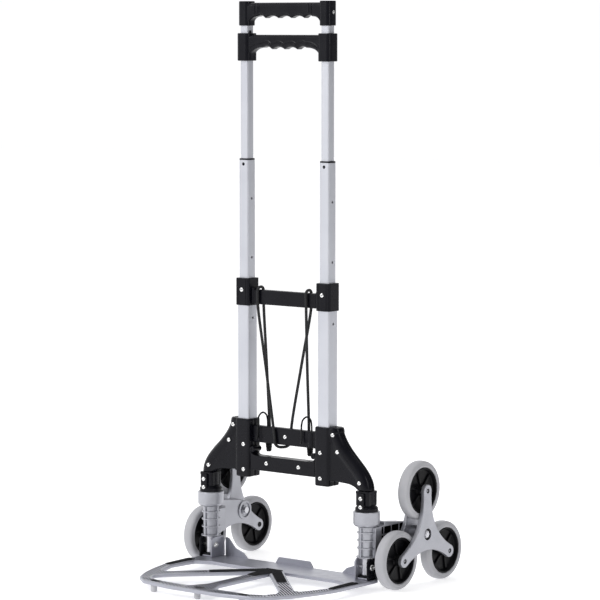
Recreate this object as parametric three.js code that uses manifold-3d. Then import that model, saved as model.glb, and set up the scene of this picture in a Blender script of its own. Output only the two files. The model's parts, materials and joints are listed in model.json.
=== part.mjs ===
// Folding stair climbing trolley.
// Millimetres, +Z up, the load plate towards -Y, left and right along X.
// The origin is on the ground, under the middle of the whole trolley.

import * as THREE from 'three'
import { mergeVertices } from 'three/addons/utils/BufferGeometryUtils.js'
import Module from 'manifold-3d'

const wasm = await Module()
wasm.setup()

// ---------------------------------------------------------------- driving dimensions

const GAP = 0.3 // clearance between pieces that touch
const CORNER = 3 // corner radius of the square tubes

const POST_X = 97 // half the spacing of the square posts
const LEG_X = 189.5 // half the spacing of the round leg shafts

const LOWER_TUBE = { width: 27, wall: 1.6, low: 195, high: 565 }
const MIDDLE_TUBE = { width: 22.4, wall: 1.5, low: 505, high: 791 }
const UPPER_TUBE = { width: 18.2, wall: 1.5, low: 735, high: 1078 }

const UPPER_HANDLE = { low: 1044, high: 1090, socket: 27, depth: 22 }
const LOWER_HANDLE = { low: 978, high: 1030, socket: 31, depth: 23 }

const CLAMP = { width: 33, low: 515, high: 567, lip: 1.7 }
const CROSSBAR = { low: 518, high: 546, halfDepth: 7 }
const UPPER_BAR = { low: 254, high: 286, halfDepth: 7 }
const LOWER_BAR = { low: 201.5, high: 229.5, front: -15, back: 7, wall: 4 }

const SHOULDER = { width: 34, depth: 36, low: 191, high: 299, centreX: 96, webHalf: 12.5 }
const RIDGE_R = 15 // moulded ridge over the curved leg tube
const LEG_TUBE_R = 11.8
const SHAFT_R = 7
const SHAFT_FOOT_R = 9.5
const FLANGE_Z = 148 // underside of the leg socket's flange
const SHAFT_LOW = 28

const HINGE = { y: -4.5, z: 43.5 } // toe plate hinge line
const PIN_R = 3

const ARM_R = 82 // wheel centre to cluster centre
const WHEEL_R = 55.4
const TYRE_BORE = 43.6
const WHEEL_WIDTH = 23
const WHEEL_X = 233
const HUB_Y = 104.4
const HUB_Z = ARM_R / 2 + WHEEL_R // the two lower wheels stand on the ground
const STAR_OUTER = { near: 246, far: 254 }
const STAR_INNER = { near: 212, far: 220 }
const ARM_PLATE = { near: 192, far: 210 } // swing arm between leg and cluster

const BRACKET = { front: -17, back: 24, top: 59.5 }
const PLATE = { low: 13, high: 20, front: -278, back: 24 }
const FOOT = { y: -262, x: 106, radius: 6 }

// the trolley's front and back limits set where the posts stand
const REAR_REACH = HUB_Y + ARM_R * Math.cos(Math.PI / 6) + WHEEL_R
const LEG_Y = (-PLATE.front - REAR_REACH) / 2

// ---------------------------------------------------------------- materials

const silver = new THREE.MeshStandardMaterial({ color: 0xd6d7de, metalness: 0.8, roughness: 0.35 })
const castGrey = new THREE.MeshStandardMaterial({ color: 0x989ca6, metalness: 0.2, roughness: 0.5 })
const plateSilver = new THREE.MeshStandardMaterial({ color: 0xb4b7c0, metalness: 0.7, roughness: 0.4 })
const blackPlastic = new THREE.MeshStandardMaterial({ color: 0x1e1e23, metalness: 0, roughness: 0.45 })
const blackRubber = new THREE.MeshStandardMaterial({ color: 0x18181a, metalness: 0, roughness: 0.85 })
const greyRubber = new THREE.MeshStandardMaterial({ color: 0xaeadb2, metalness: 0, roughness: 0.7 })
const steel = new THREE.MeshStandardMaterial({ color: 0xe2e2e2, metalness: 0.9, roughness: 0.25 })

// ---------------------------------------------------------------- solids

// One closed skin with its faces pointing out.
function weld(geometry) {
  const bare = geometry.clone()
  bare.deleteAttribute('normal')
  bare.deleteAttribute('uv')
  const merged = mergeVertices(bare, 1e-3)
  const source = merged.index.array
  const at = merged.attributes.position
  const kept = []
  const a = new THREE.Vector3()
  const b = new THREE.Vector3()
  const c = new THREE.Vector3()
  let volume = 0
  for (let i = 0; i < source.length; i += 3) {
    const [p, q, r] = source.slice(i, i + 3)
    if (p === q || q === r || r === p) continue
    kept.push([p, q, r])
    a.fromBufferAttribute(at, p)
    b.fromBufferAttribute(at, q)
    c.fromBufferAttribute(at, r)
    volume += a.dot(b.cross(c))
  }
  merged.setIndex(kept.flatMap((face) => (volume < 0 ? face.reverse() : face)))
  return merged
}

function toSolid(geometry) {
  const skin = weld(geometry)
  return new wasm.Manifold(new wasm.Mesh({
    numProp: 3,
    vertProperties: new Float32Array(skin.attributes.position.array),
    triVerts: new Uint32Array(skin.index.array),
  }))
}

function toGeometry(solid) {
  const mesh = solid.getMesh()
  const geometry = new THREE.BufferGeometry()
  geometry.setAttribute('position', new THREE.BufferAttribute(mesh.vertProperties, 3))
  geometry.setIndex(new THREE.BufferAttribute(mesh.triVerts, 1))
  return geometry
}

function join(first, ...others) {
  return toGeometry(others.reduce((sum, next) => sum.add(toSolid(next)), toSolid(first)))
}

function cut(first, ...others) {
  return toGeometry(others.reduce((rest, next) => rest.subtract(toSolid(next)), toSolid(first)))
}

function common(first, second) {
  return toGeometry(toSolid(first).intersect(toSolid(second)))
}

function mirrorX(geometry) {
  return weld(geometry.clone().scale(-1, 1, 1))
}

function mirrorY(geometry) {
  return weld(geometry.clone().scale(1, -1, 1))
}

function box(x0, x1, y0, y1, z0, z1) {
  const block = new THREE.BoxGeometry(x1 - x0, y1 - y0, z1 - z0)
  return block.translate((x0 + x1) / 2, (y0 + y1) / 2, (z0 + z1) / 2)
}

function roundedRect(width, height, radius) {
  const x = width / 2
  const y = height / 2
  const shape = new THREE.Shape()
  shape.moveTo(-x + radius, -y)
  shape.lineTo(x - radius, -y)
  shape.absarc(x - radius, -y + radius, radius, -Math.PI / 2, 0)
  shape.lineTo(x, y - radius)
  shape.absarc(x - radius, y - radius, radius, 0, Math.PI / 2)
  shape.lineTo(-x + radius, y)
  shape.absarc(-x + radius, y - radius, radius, Math.PI / 2, Math.PI)
  shape.lineTo(-x, -y + radius)
  shape.absarc(-x + radius, -y + radius, radius, Math.PI, Math.PI * 1.5)
  return shape
}

// An outline drawn in x and y, raised along Z.
function extrudeZ(shape, z0, z1, curveSegments = 2) {
  const options = { depth: z1 - z0, bevelEnabled: false, curveSegments }
  return new THREE.ExtrudeGeometry(shape, options).translate(0, 0, z0)
}

// An outline drawn in x and z, given a thickness along Y.
function extrudeY(shape, y0, y1, curveSegments = 3) {
  return extrudeZ(shape, 0, y1 - y0, curveSegments).rotateX(Math.PI / 2).translate(0, y1, 0)
}

// An outline drawn in y and z, given a thickness along X.
function extrudeX(shape, x0, x1, curveSegments = 4) {
  const turn = new THREE.Matrix4().makeBasis(
    new THREE.Vector3(0, 1, 0),
    new THREE.Vector3(0, 0, 1),
    new THREE.Vector3(1, 0, 0),
  )
  return extrudeZ(shape, 0, x1 - x0, curveSegments).applyMatrix4(turn).translate(x0, 0, 0)
}

function rodZ(radius, z0, z1, sides = 12) {
  const rod = new THREE.CylinderGeometry(radius, radius, z1 - z0, sides)
  return rod.rotateX(Math.PI / 2).translate(0, 0, (z0 + z1) / 2)
}

function rodX(radius, x0, x1, sides = 12) {
  const rod = new THREE.CylinderGeometry(radius, radius, x1 - x0, sides)
  return rod.rotateZ(-Math.PI / 2).translate((x0 + x1) / 2, 0, 0)
}

// A turned piece from [radius, height] points. A ring's profile is closed by its first point.
function lathe(profile, sides) {
  const onAxis = profile[0][0] === 0
  const outline = onAxis ? profile : [...profile, profile[0]]
  return new THREE.LatheGeometry(outline.map(([r, h]) => new THREE.Vector2(r, h)), sides)
}

function turnedZ(profile, sides = 20) {
  return lathe(profile, sides).rotateX(Math.PI / 2)
}

function turnedX(profile, sides = 20) {
  return lathe(profile, sides).rotateZ(-Math.PI / 2)
}

// A smooth route whose extrusion steps are shared out between its points, not by length.
class Route extends THREE.CatmullRomCurve3 {
  constructor(points) {
    super(points.map(([x, y, z]) => new THREE.Vector3(x, y, z)), false, 'centripetal')
  }

  getUtoTmapping(u) {
    return u
  }
}

function sweep(points, radius, sides, stepsBetween) {
  const section = new THREE.Shape().absarc(0, 0, radius, 0, Math.PI * 2)
  const steps = (points.length - 1) * stepsBetween
  const extrudePath = new Route(points)
  return new THREE.ExtrudeGeometry(section, { extrudePath, steps, curveSegments: sides / 2 })
}

// ---------------------------------------------------------------- the assembly

const trolley = new THREE.Group()
const legPlane = new THREE.Group()
legPlane.position.y = LEG_Y
trolley.add(legPlane)

function add(name, geometry, material, x = 0, y = 0, z = 0) {
  const skin = weld(geometry)
  skin.computeVertexNormals()
  const mesh = new THREE.Mesh(skin, material)
  mesh.name = name
  mesh.position.set(x, y, z)
  legPlane.add(mesh)
}

// A right-hand piece and its mirror image.
function addPair(name, geometry, material, y = 0, z = 0) {
  add(`${name}_right`, geometry, material, 0, y, z)
  add(`${name}_left`, mirrorX(geometry), material, 0, y, z)
}

// ---------------------------------------------------------------- telescopic posts

function squareTube({ width, wall, low, high }, holeHeights) {
  const section = roundedRect(width, width, CORNER)
  section.holes.push(roundedRect(width - 2 * wall, width - 2 * wall, CORNER - wall))
  const holes = holeHeights.map((z) => rodX(2.4, -width, width, 10).translate(0, 0, z))
  return cut(extrudeZ(section, low, high), ...holes)
}

const LOWER_HOLES = [491]
const MIDDLE_HOLES = [606, 718]

for (const [side, x] of [['right', POST_X], ['left', -POST_X]]) {
  add(`lower_tube_${side}`, squareTube(LOWER_TUBE, LOWER_HOLES), silver, x)
  add(`middle_tube_${side}`, squareTube(MIDDLE_TUBE, MIDDLE_HOLES), silver, x)
  add(`upper_tube_${side}`, squareTube(UPPER_TUBE, []), silver, x)
}

// A plastic bush on top of each middle tube guides the upper tube.
const bushOutline = roundedRect(MIDDLE_TUBE.width, MIDDLE_TUBE.width, CORNER)
const bushBore = UPPER_TUBE.width + 2 * GAP
bushOutline.holes.push(roundedRect(bushBore, bushBore, CORNER))
const bush = extrudeZ(bushOutline, MIDDLE_TUBE.high + GAP, MIDDLE_TUBE.high + 3)
add('guide_bush_right', bush, blackPlastic, POST_X)
add('guide_bush_left', bush, blackPlastic, -POST_X)

// ---------------------------------------------------------------- handles

// The grip's side view: flat on top, finger scallops below, an arch down to each socket.
function gripOutline({ top, low, bottom, arch, cusps }) {
  const end = POST_X - 12
  const scallop = 6
  const shape = new THREE.Shape()
  shape.moveTo(-end, top)
  shape.lineTo(end, top)
  shape.lineTo(end, low)
  shape.quadraticCurveTo(end - 4, bottom + 3, arch, bottom + 3)
  let last = arch
  for (const x of cusps) {
    shape.quadraticCurveTo((x + last) / 2, bottom + scallop * 1.4, x, bottom)
    last = x
  }
  shape.quadraticCurveTo((last - arch) / 2, bottom + scallop * 1.4, -arch, bottom + 3)
  shape.quadraticCurveTo(-end + 4, bottom + 3, -end, low)
  return shape
}

function handle(size, grip, boreTop) {
  const bar = extrudeY(gripOutline(grip), -size.depth / 2, size.depth / 2)
  const socket = extrudeZ(roundedRect(size.socket, size.socket, 10), size.low, size.high)
  const width = UPPER_TUBE.width + 2 * GAP
  const bore = extrudeZ(roundedRect(width, width, CORNER), size.low - 1, boreTop)
  const sockets = [POST_X, -POST_X].map((x) => socket.clone().translate(x, 0, 0))
  const bores = [POST_X, -POST_X].map((x) => bore.clone().translate(x, 0, 0))
  return cut(join(bar, ...sockets), ...bores)
}

const upperGrip = { top: 1087, low: 1047, bottom: 1058, arch: 66, cusps: [46.5, 15.5, -15.5, -46.5] }
const lowerGrip = { top: 1027, low: 982, bottom: 1000, arch: 52, cusps: [30, 0, -30] }
const upperBoreTop = UPPER_TUBE.high + GAP
const lowerBoreTop = LOWER_HANDLE.high + 1
const upperHandle = handle(UPPER_HANDLE, upperGrip, upperBoreTop)
const lowerHandle = handle(LOWER_HANDLE, lowerGrip, lowerBoreTop)

// The release button slides in a blind pocket in the left socket's top.
const BUTTON = { x: -POST_X + 12.4, y: -5, width: 3, depth: 5, low: 1021, high: 1035 }
const buttonPocket = box(
  BUTTON.x - BUTTON.width / 2 - GAP,
  BUTTON.x + BUTTON.width / 2 + GAP,
  BUTTON.y - BUTTON.depth / 2 - GAP,
  BUTTON.y + BUTTON.depth / 2 + GAP,
  BUTTON.low - 4,
  LOWER_HANDLE.high + 1,
)
const releaseButton = box(
  BUTTON.x - BUTTON.width / 2,
  BUTTON.x + BUTTON.width / 2,
  BUTTON.y - BUTTON.depth / 2,
  BUTTON.y + BUTTON.depth / 2,
  BUTTON.low,
  BUTTON.high,
)
add('upper_handle', upperHandle, blackPlastic)
add('lower_handle', cut(lowerHandle, buttonPocket), blackPlastic)
add('release_button', releaseButton, blackPlastic)

// ---------------------------------------------------------------- middle clamp and its crossbar

function clampSleeve() {
  const outer = extrudeZ(roundedRect(CLAMP.width, CLAMP.width, 6), CLAMP.low, CLAMP.high)
  const pocketWidth = LOWER_TUBE.width + 2 * GAP
  const pocket = extrudeZ(roundedRect(pocketWidth, pocketWidth, CORNER), 500, CLAMP.high - CLAMP.lip)
  const mouthWidth = MIDDLE_TUBE.width + 3 * GAP
  const mouth = extrudeZ(roundedRect(mouthWidth, mouthWidth, CORNER), 500, CLAMP.high + 1)
  return cut(outer, pocket, mouth)
}

function barBetween(halfLength, { low, high, halfDepth }) {
  const section = roundedRect(2 * halfDepth, high - low, 3)
  return extrudeX(section, -halfLength, halfLength, 2).translate(0, 0, (low + high) / 2)
}
const clampBridge = join(
  barBetween(POST_X - CLAMP.width / 2 + 1, CROSSBAR),
  clampSleeve().translate(POST_X, 0, 0),
  clampSleeve().translate(-POST_X, 0, 0),
)
add('clamp_bridge', clampBridge, blackPlastic)

// ---------------------------------------------------------------- shoulders and lower bars

// The curved leg leaves the post, sweeps outwards and ends upright over the leg shaft.
const legCurve = new THREE.CubicBezierCurve3(
  new THREE.Vector3(114, 0, 304),
  new THREE.Vector3(123, 0, 243),
  new THREE.Vector3(LEG_X, 0, 223),
  new THREE.Vector3(LEG_X, 0, 186),
)
const legPoints = legCurve.getPoints(9).map((p) => [p.x, p.y, p.z])
const tubePoints = [...legPoints.slice(2), [LEG_X, 0, 168], [LEG_X, 0, FLANGE_Z + 2]]

function web() {
  const shape = new THREE.Shape()
  shape.moveTo(SHOULDER.centreX, SHOULDER.high - 2)
  for (const [x, , z] of legPoints) {
    shape.lineTo(x, Math.min(z, SHOULDER.high - 2))
  }
  shape.lineTo(LEG_X - 13, 187)
  shape.quadraticCurveTo(LEG_X - 18, 193, LEG_X - 34, 196)
  shape.lineTo(SHOULDER.centreX, 200)
  return extrudeY(shape, -SHOULDER.webHalf, SHOULDER.webHalf)
}

function shoulderShell() {
  const { width, depth, low, high, centreX } = SHOULDER
  const block = extrudeZ(roundedRect(width, depth, 6), low, high).translate(centreX, 0, 0)
  const ridge = sweep([...legPoints, [LEG_X, 0, 172]], RIDGE_R, 12, 1)
  const postWidth = LOWER_TUBE.width + 2 * GAP
  const post = extrudeZ(roundedRect(postWidth, postWidth, CORNER), LOWER_TUBE.low - GAP, high + 10)
  const channel = sweep(tubePoints, LEG_TUBE_R + 0.6, 10, 1)
  const both = cut(join(block, ridge, web()), post.translate(POST_X, 0, 0), channel)
  return common(both, box(0, 300, -50, -GAP / 2, 186, 400))
}
const frontShell = shoulderShell()
addPair('shoulder_front', frontShell, blackPlastic)
addPair('shoulder_rear', mirrorY(frontShell), blackPlastic)

const legTube = cut(
  sweep(tubePoints, LEG_TUBE_R, 10, 1),
  rodZ(SHAFT_R + 0.5, FLANGE_Z, 178).translate(LEG_X, 0, 0),
)
addPair('leg_tube', legTube, blackPlastic)

const barHalf = SHOULDER.centreX - SHOULDER.width / 2 - GAP
add('upper_bar', barBetween(barHalf, UPPER_BAR), blackPlastic)

function lowerBar() {
  const { low, high, front, back, wall } = LOWER_BAR
  const shape = new THREE.Shape()
  shape.moveTo(-barHalf, low)
  shape.lineTo(barHalf, low)
  shape.lineTo(barHalf, high + 12)
  shape.quadraticCurveTo(barHalf - 2, high, barHalf - 16, high)
  shape.lineTo(-barHalf + 16, high)
  shape.quadraticCurveTo(-barHalf + 2, high, -barHalf, high + 12)
  const hollow = box(-barHalf + 20, barHalf - 20, front + wall, back + 1, low + wall, high - wall)
  return cut(extrudeY(shape, front, back), hollow)
}
add('lower_bar', lowerBar(), blackPlastic)

// ---------------------------------------------------------------- legs

const sleeve = turnedZ([
  [SHAFT_R + 0.4, FLANGE_Z],
  [21.5, FLANGE_Z],
  [21.5, FLANGE_Z + 8],
  [18, FLANGE_Z + 11],
  [16, FLANGE_Z + 11],
  [16, 186],
  [LEG_TUBE_R + 0.6, 186],
  [LEG_TUBE_R + 0.6, FLANGE_Z + 1.7],
  [SHAFT_R + 0.4, FLANGE_Z + 1.7],
], 16)
const screwBoss = box(-6, 8, -21, -14, FLANGE_Z + 2, 183)
addPair('leg_socket', join(sleeve, screwBoss).translate(LEG_X, 0, 0), blackPlastic)

const collar = turnedZ([
  [SHAFT_R + 0.4, 120],
  [22, 120],
  [25, 123],
  [25, FLANGE_Z - GAP],
  [SHAFT_R + 0.4, FLANGE_Z - GAP],
], 16)
addPair('leg_collar', collar.translate(LEG_X, 0, 0), castGrey)

// The shaft carries the swing arm, and its thicker foot holds the toe plate's hinge pin.
const shaft = cut(
  turnedZ([
    [0, SHAFT_LOW],
    [SHAFT_FOOT_R, SHAFT_LOW],
    [SHAFT_FOOT_R, 59],
    [SHAFT_R, 59],
    [SHAFT_R, 176],
    [0, 176],
  ], 16),
  rodX(PIN_R + 0.4, -20, 20, 16).translate(0, HINGE.y, HINGE.z),
)
addPair('leg_shaft', shaft.translate(LEG_X, 0, 0), steel)

// ---------------------------------------------------------------- bungee cord and its hooks

const CORD_R = 2.75
const HOOK_WIRE_R = 1.7
const HOOK_SLEEVE = { low: 235, high: 262, y: 15.6 }

// From the right hook over the crossbar, under the upper bar, back over and down to the left hook.
const cordRoute = [
  [40.5, 15.6, 262.8],
  [41.5, 13.5, 306],
  [48, 1, 400],
  [54.5, -10.8, 514],
  [54.4, -11, 532],
  [54, -10.6, 545],
  [53.2, -6.5, 549.8],
  [52, 0, 551],
  [50.8, 6.5, 549.8],
  [50, 10.6, 545],
  [49.6, 11, 532],
  [49, 10.8, 514],
  [27, 10.6, 410],
  [3, 10.6, 294],
  [0, 10.8, 268],
  [-2, 10.4, 255],
  [-6, 6.2, 250],
  [-11, 0, 249],
  [-16, -6.2, 250],
  [-20, -10.4, 255],
  [-22, -10.8, 268],
  [-26, -10.6, 294],
  [-43, -10.8, 400],
  [-62, -10.8, 514],
  [-62.6, -11, 532],
  [-62.8, -10.6, 545],
  [-63.4, -6.5, 549.8],
  [-64.4, 0, 551],
  [-65.4, 6.5, 549.8],
  [-66, 10.6, 545],
  [-66.2, 11, 532],
  [-66, 11.2, 514],
  [-60, 12.9, 400],
  [-54, 15.6, 262.8],
]
add('bungee_cord', sweep(cordRoute, CORD_R, 8, 1), blackRubber)

// A wire hook: up behind the upper bar, over it, and down in front.
function hook(x, wireBack, wireFront) {
  const { low, high, y } = HOOK_SLEEVE
  const front = -11.5
  const grip = turnedZ([[0, low], [5.5, low], [7.6, high - 8], [7.6, high], [0, high]], 10)
  const wire = sweep([
    [wireBack, y, high - 6],
    [wireBack, y, 296],
    [wireBack, y - 4, 306],
    [(wireBack + wireFront) / 2, (y + front) / 2, 311],
    [wireFront, front + 4, 306],
    [wireFront, front, 296],
    [wireFront, front, 270],
    [wireFront, front - 3, 262],
  ], HOOK_WIRE_R, 6, 1)
  return join(grip.translate(x, y, 0), wire)
}
add('cord_hook_right', hook(43, 46.5, 44), blackPlastic)
add('cord_hook_left', hook(-57, -60.5, -62), blackPlastic)

// ---------------------------------------------------------------- toe plate

// Half outlines in plan, from the middle of the rear edge round to the middle of the front.
const outerHalf = [
  [194, PLATE.back],
  [209, 12],
  [209, -40],
  [207, -116],
  [196, -160],
  [179, -206],
  [158, -244],
  [130, -266],
  [60, PLATE.front],
]
const innerHalf = [
  [150, -44],
  [182, -56],
  [188, -116],
  [176, -150],
  [156, -198],
  [134, -236],
  [110, -248],
]

function mirroredOutline(half) {
  const left = half.map(([x, y]) => [-x, y]).reverse()
  return new THREE.Shape([...half, ...left].map(([x, y]) => new THREE.Vector2(x, y)))
}

function planPiece(points, z0, z1) {
  return extrudeZ(new THREE.Shape(points.map(([x, y]) => new THREE.Vector2(x, y))), z0, z1)
}

const sideSpoke = [[-8, -20], [14, -30], [156, -172], [180, -170], [150, -222], [134, -190], [0, -57]]
const middleSpoke = [[-14, -30], [14, -30], [13, -215], [34, -256], [-34, -256], [-13, -215]]

// Thin flanges stand up along the rear edge: one in the middle and one beside each leg.
function rearFlange(points) {
  const shape = new THREE.Shape(points.map(([x, z]) => new THREE.Vector2(x, z)))
  return extrudeY(shape, PLATE.back - 3, PLATE.back)
}

function toePlate() {
  const { low, high } = PLATE
  const frame = cut(
    extrudeZ(mirroredOutline(outerHalf), low, high),
    extrudeZ(mirroredOutline(innerHalf), low - 1, high + 1),
  )
  const spoke = planPiece(sideSpoke, low, high)
  const sideFlange = rearFlange([[112, high - 2], [171, high - 2], [171, 57], [162, 54], [146, 37], [126, 30]])
  return join(
    frame,
    spoke,
    mirrorX(spoke),
    planPiece(middleSpoke, low, high),
    rearFlange([[-48, high - 2], [48, high - 2], [38, 32], [-38, 32]]),
    sideFlange,
    mirrorX(sideFlange),
  )
}
add('toe_plate', toePlate(), plateSilver)

const padTop = PLATE.high + 1.8
const railPad = planPiece([[190, -46], [206, -46], [204, -120], [192, -120]], PLATE.high + GAP, padTop)
const spokePad = planPiece([[14, -36], [2, -52], [82, -132], [95, -118]], PLATE.high + GAP, padTop)
const middlePad = planPiece([[-20, -36], [20, -36], [10, -108], [-10, -108]], PLATE.high + GAP, padTop)
addPair('rail_pad', railPad, blackRubber)
add('spoke_pad', join(middlePad, spokePad, mirrorX(spokePad)), blackRubber)

const foot = rodZ(FOOT.radius, 0, PLATE.low - GAP, 12)
add('foot_right', foot, greyRubber, FOOT.x, FOOT.y)
add('foot_middle', foot, greyRubber, 0, FOOT.y)
add('foot_left', foot, greyRubber, -FOOT.x, FOOT.y)

// Two upright cheeks and a base form each hinge bracket round the foot of the leg shaft.
function hingeBracket() {
  const { front, back, top } = BRACKET
  const base = PLATE.high + GAP
  const cheek = new THREE.Shape()
  cheek.moveTo(front, base)
  cheek.lineTo(back, base)
  cheek.lineTo(back - 2, top - 6)
  cheek.lineTo(back - 7, top)
  cheek.lineTo(front + 6, top)
  cheek.lineTo(front, top - 6)
  const holeR = PIN_R + 0.3
  cheek.holes.push(new THREE.Path().absarc(HINGE.y, HINGE.z, holeR, 0, Math.PI * 2))
  const floor = box(-14, 14, -12, 15, base, base + 3)
  return join(extrudeX(cheek, 13, 16), extrudeX(cheek, -16, -13), floor)
}
addPair('hinge_bracket', hingeBracket().translate(LEG_X, 0, 0), plateSilver)

const hingePin = turnedX([
  [0, -18.5],
  [6, -18.5],
  [6, -16.3],
  [PIN_R, -16.3],
  [PIN_R, 16.3],
  [6, 16.3],
  [6, 18.5],
  [0, 18.5],
], 12)
addPair('hinge_pin', hingePin.translate(LEG_X, 0, 0), steel, HINGE.y, HINGE.z)

// ---------------------------------------------------------------- swing arms

function knuckle() {
  return turnedZ([[0, 61], [19, 61], [19, 63.5], [15, 64.5], [15, 119], [0, 119]], 16)
}

// Blind pockets leave a grid of thin ribs on the arm's outer face.
function armPockets() {
  const grid = [
    [103.5, 117, [[19, 24.5], [27, 47.5], [50.5, 71.5], [74.5, 92]]],
    [84.5, 100.5, [[19, 24.5], [27, 47.5], [50.5, 71.5], [74.5, 92]]],
    [69, 81.5, [[19, 24.5], [27, 47.5]]],
    [75.5, 81.5, [[50.5, 71.5]]],
  ]
  return grid.flatMap(([low, high, columns]) => (
    columns.map(([y0, y1]) => box(ARM_PLATE.near + 4, ARM_PLATE.far + 1, y0, y1, low, high))
  ))
}

// The arm's plate: its top steps down to pass under the leg collar.
const armSide = [
  [0, 62],
  [30, 62],
  [96, 79],
  [HUB_Y, 84],
  [HUB_Y, HUB_Z + 19],
  [86, 119],
  [27.5, 126.5],
  [27.5, 119],
  [0, 119],
]

function swingArm() {
  const { near, far } = ARM_PLATE
  const side = new THREE.Shape(armSide.map(([y, z]) => new THREE.Vector2(y, z)))
  const plate = cut(extrudeX(side, near, far), ...armPockets())
  const boss = rodX(19, near, far, 20).translate(0, HUB_Y, HUB_Z)
  const bore = rodX(6.4, near - 5, far + 5, 16).translate(0, HUB_Y, HUB_Z)
  const shaftBore = rodZ(SHAFT_R + 0.5, 50, 130, 16).translate(LEG_X, 0, 0)
  return cut(join(knuckle().translate(LEG_X, 0, 0), plate, boss), bore, shaftBore)
}
addPair('swing_arm', swingArm(), castGrey)

const axle = turnedX([
  [0, 185],
  [9, 185],
  [9, ARM_PLATE.near - GAP],
  [6, ARM_PLATE.near - GAP],
  [6, 250.3],
  [9, 250.3],
  [9, 253.6],
  [0, 253.6],
], 16)
addPair('cluster_axle', axle, steel, HUB_Y, HUB_Z)

// ---------------------------------------------------------------- wheel clusters

const wheelAngles = [90, 210, 330].map(THREE.MathUtils.degToRad)

// Three arms with round tips, joined by hollow curves.
function starOutline(tipRadius, waist) {
  const shape = new THREE.Shape()
  const spread = THREE.MathUtils.degToRad(85)
  const between = Math.PI / 3
  for (const [i, angle] of wheelAngles.entries()) {
    const y = ARM_R * Math.cos(angle)
    const z = ARM_R * Math.sin(angle)
    if (i === 0) {
      shape.moveTo(y + tipRadius * Math.cos(angle - spread), z + tipRadius * Math.sin(angle - spread))
    }
    shape.absarc(y, z, tipRadius, angle - spread, angle + spread)
    const next = angle + 2 * between
    const toY = ARM_R * Math.cos(next) + tipRadius * Math.cos(next - spread)
    const toZ = ARM_R * Math.sin(next) + tipRadius * Math.sin(next - spread)
    const pullY = waist * Math.cos(angle + between)
    const pullZ = waist * Math.sin(angle + between)
    shape.quadraticCurveTo(pullY, pullZ, toY, toZ)
  }
  return shape
}

// The same rod at each of the three arm tips.
function tipRods(radius, x0, x1) {
  return wheelAngles.map((angle) => (
    rodX(radius, x0, x1, 10).translate(0, ARM_R * Math.cos(angle), ARM_R * Math.sin(angle))
  ))
}

function starPlate({ near, far }) {
  return extrudeX(starOutline(12, 8), near, far, 4)
}

const SPINDLE_R = 4.1
const outerStar = cut(
  starPlate(STAR_OUTER),
  ...tipRods(SPINDLE_R + 0.5, 240, 260),
  rodX(6.4, 240, 260, 16),
  rodX(11, STAR_OUTER.far - 4, 260, 16),
)
// The inner star carries the cluster's core tube and the three wheel spindles.
const innerStar = cut(
  join(
    starPlate(STAR_INNER),
    rodX(14, STAR_INNER.near, STAR_OUTER.near - GAP, 16),
    ...tipRods(SPINDLE_R, STAR_INNER.far - 4, STAR_OUTER.far - 0.8),
  ),
  rodX(6.4, 200, 260, 16),
)
addPair('star_outer', outerStar, castGrey, HUB_Y, HUB_Z)
addPair('star_inner', innerStar, castGrey, HUB_Y, HUB_Z)

// The tyre's tread is crowned; the hub has a thin web between its boss and its rim.
const half = WHEEL_WIDTH / 2
const tyre = turnedX([
  [TYRE_BORE, -half],
  [51.5, -half],
  [WHEEL_R, -half + 4.5],
  [WHEEL_R, half - 4.5],
  [51.5, half],
  [TYRE_BORE, half],
], 24)
const hub = turnedX([
  [SPINDLE_R + 0.6, -half + 0.4],
  [11, -half + 0.4],
  [12, -3],
  [38, -3],
  [39, -half + 1],
  [TYRE_BORE - 2 * GAP, -half + 1],
  [TYRE_BORE - 2 * GAP, half - 1],
  [39, half - 1],
  [38, 3],
  [12, 3],
  [11, half - 0.4],
  [SPINDLE_R + 0.6, half - 0.4],
], 18)

for (const [side, sign] of [['right', 1], ['left', -1]]) {
  for (const [i, angle] of wheelAngles.entries()) {
    const y = HUB_Y + ARM_R * Math.cos(angle)
    const z = HUB_Z + ARM_R * Math.sin(angle)
    add(`tyre_${side}_${i + 1}`, tyre, greyRubber, sign * WHEEL_X, y, z)
    add(`hub_${side}_${i + 1}`, hub, blackPlastic, sign * WHEEL_X, y, z)
  }
}

export default trolley
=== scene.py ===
"""Looks of the folding stair climbing trolley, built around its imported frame.

Shapes are drawn in millimetres in the posts' plane (y = 0 halfway through the square posts)
and turned into metres in the row frame when each piece is finished.
"""

import json
import math

import bmesh
import bpy
from mathutils import Matrix, Vector

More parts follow.
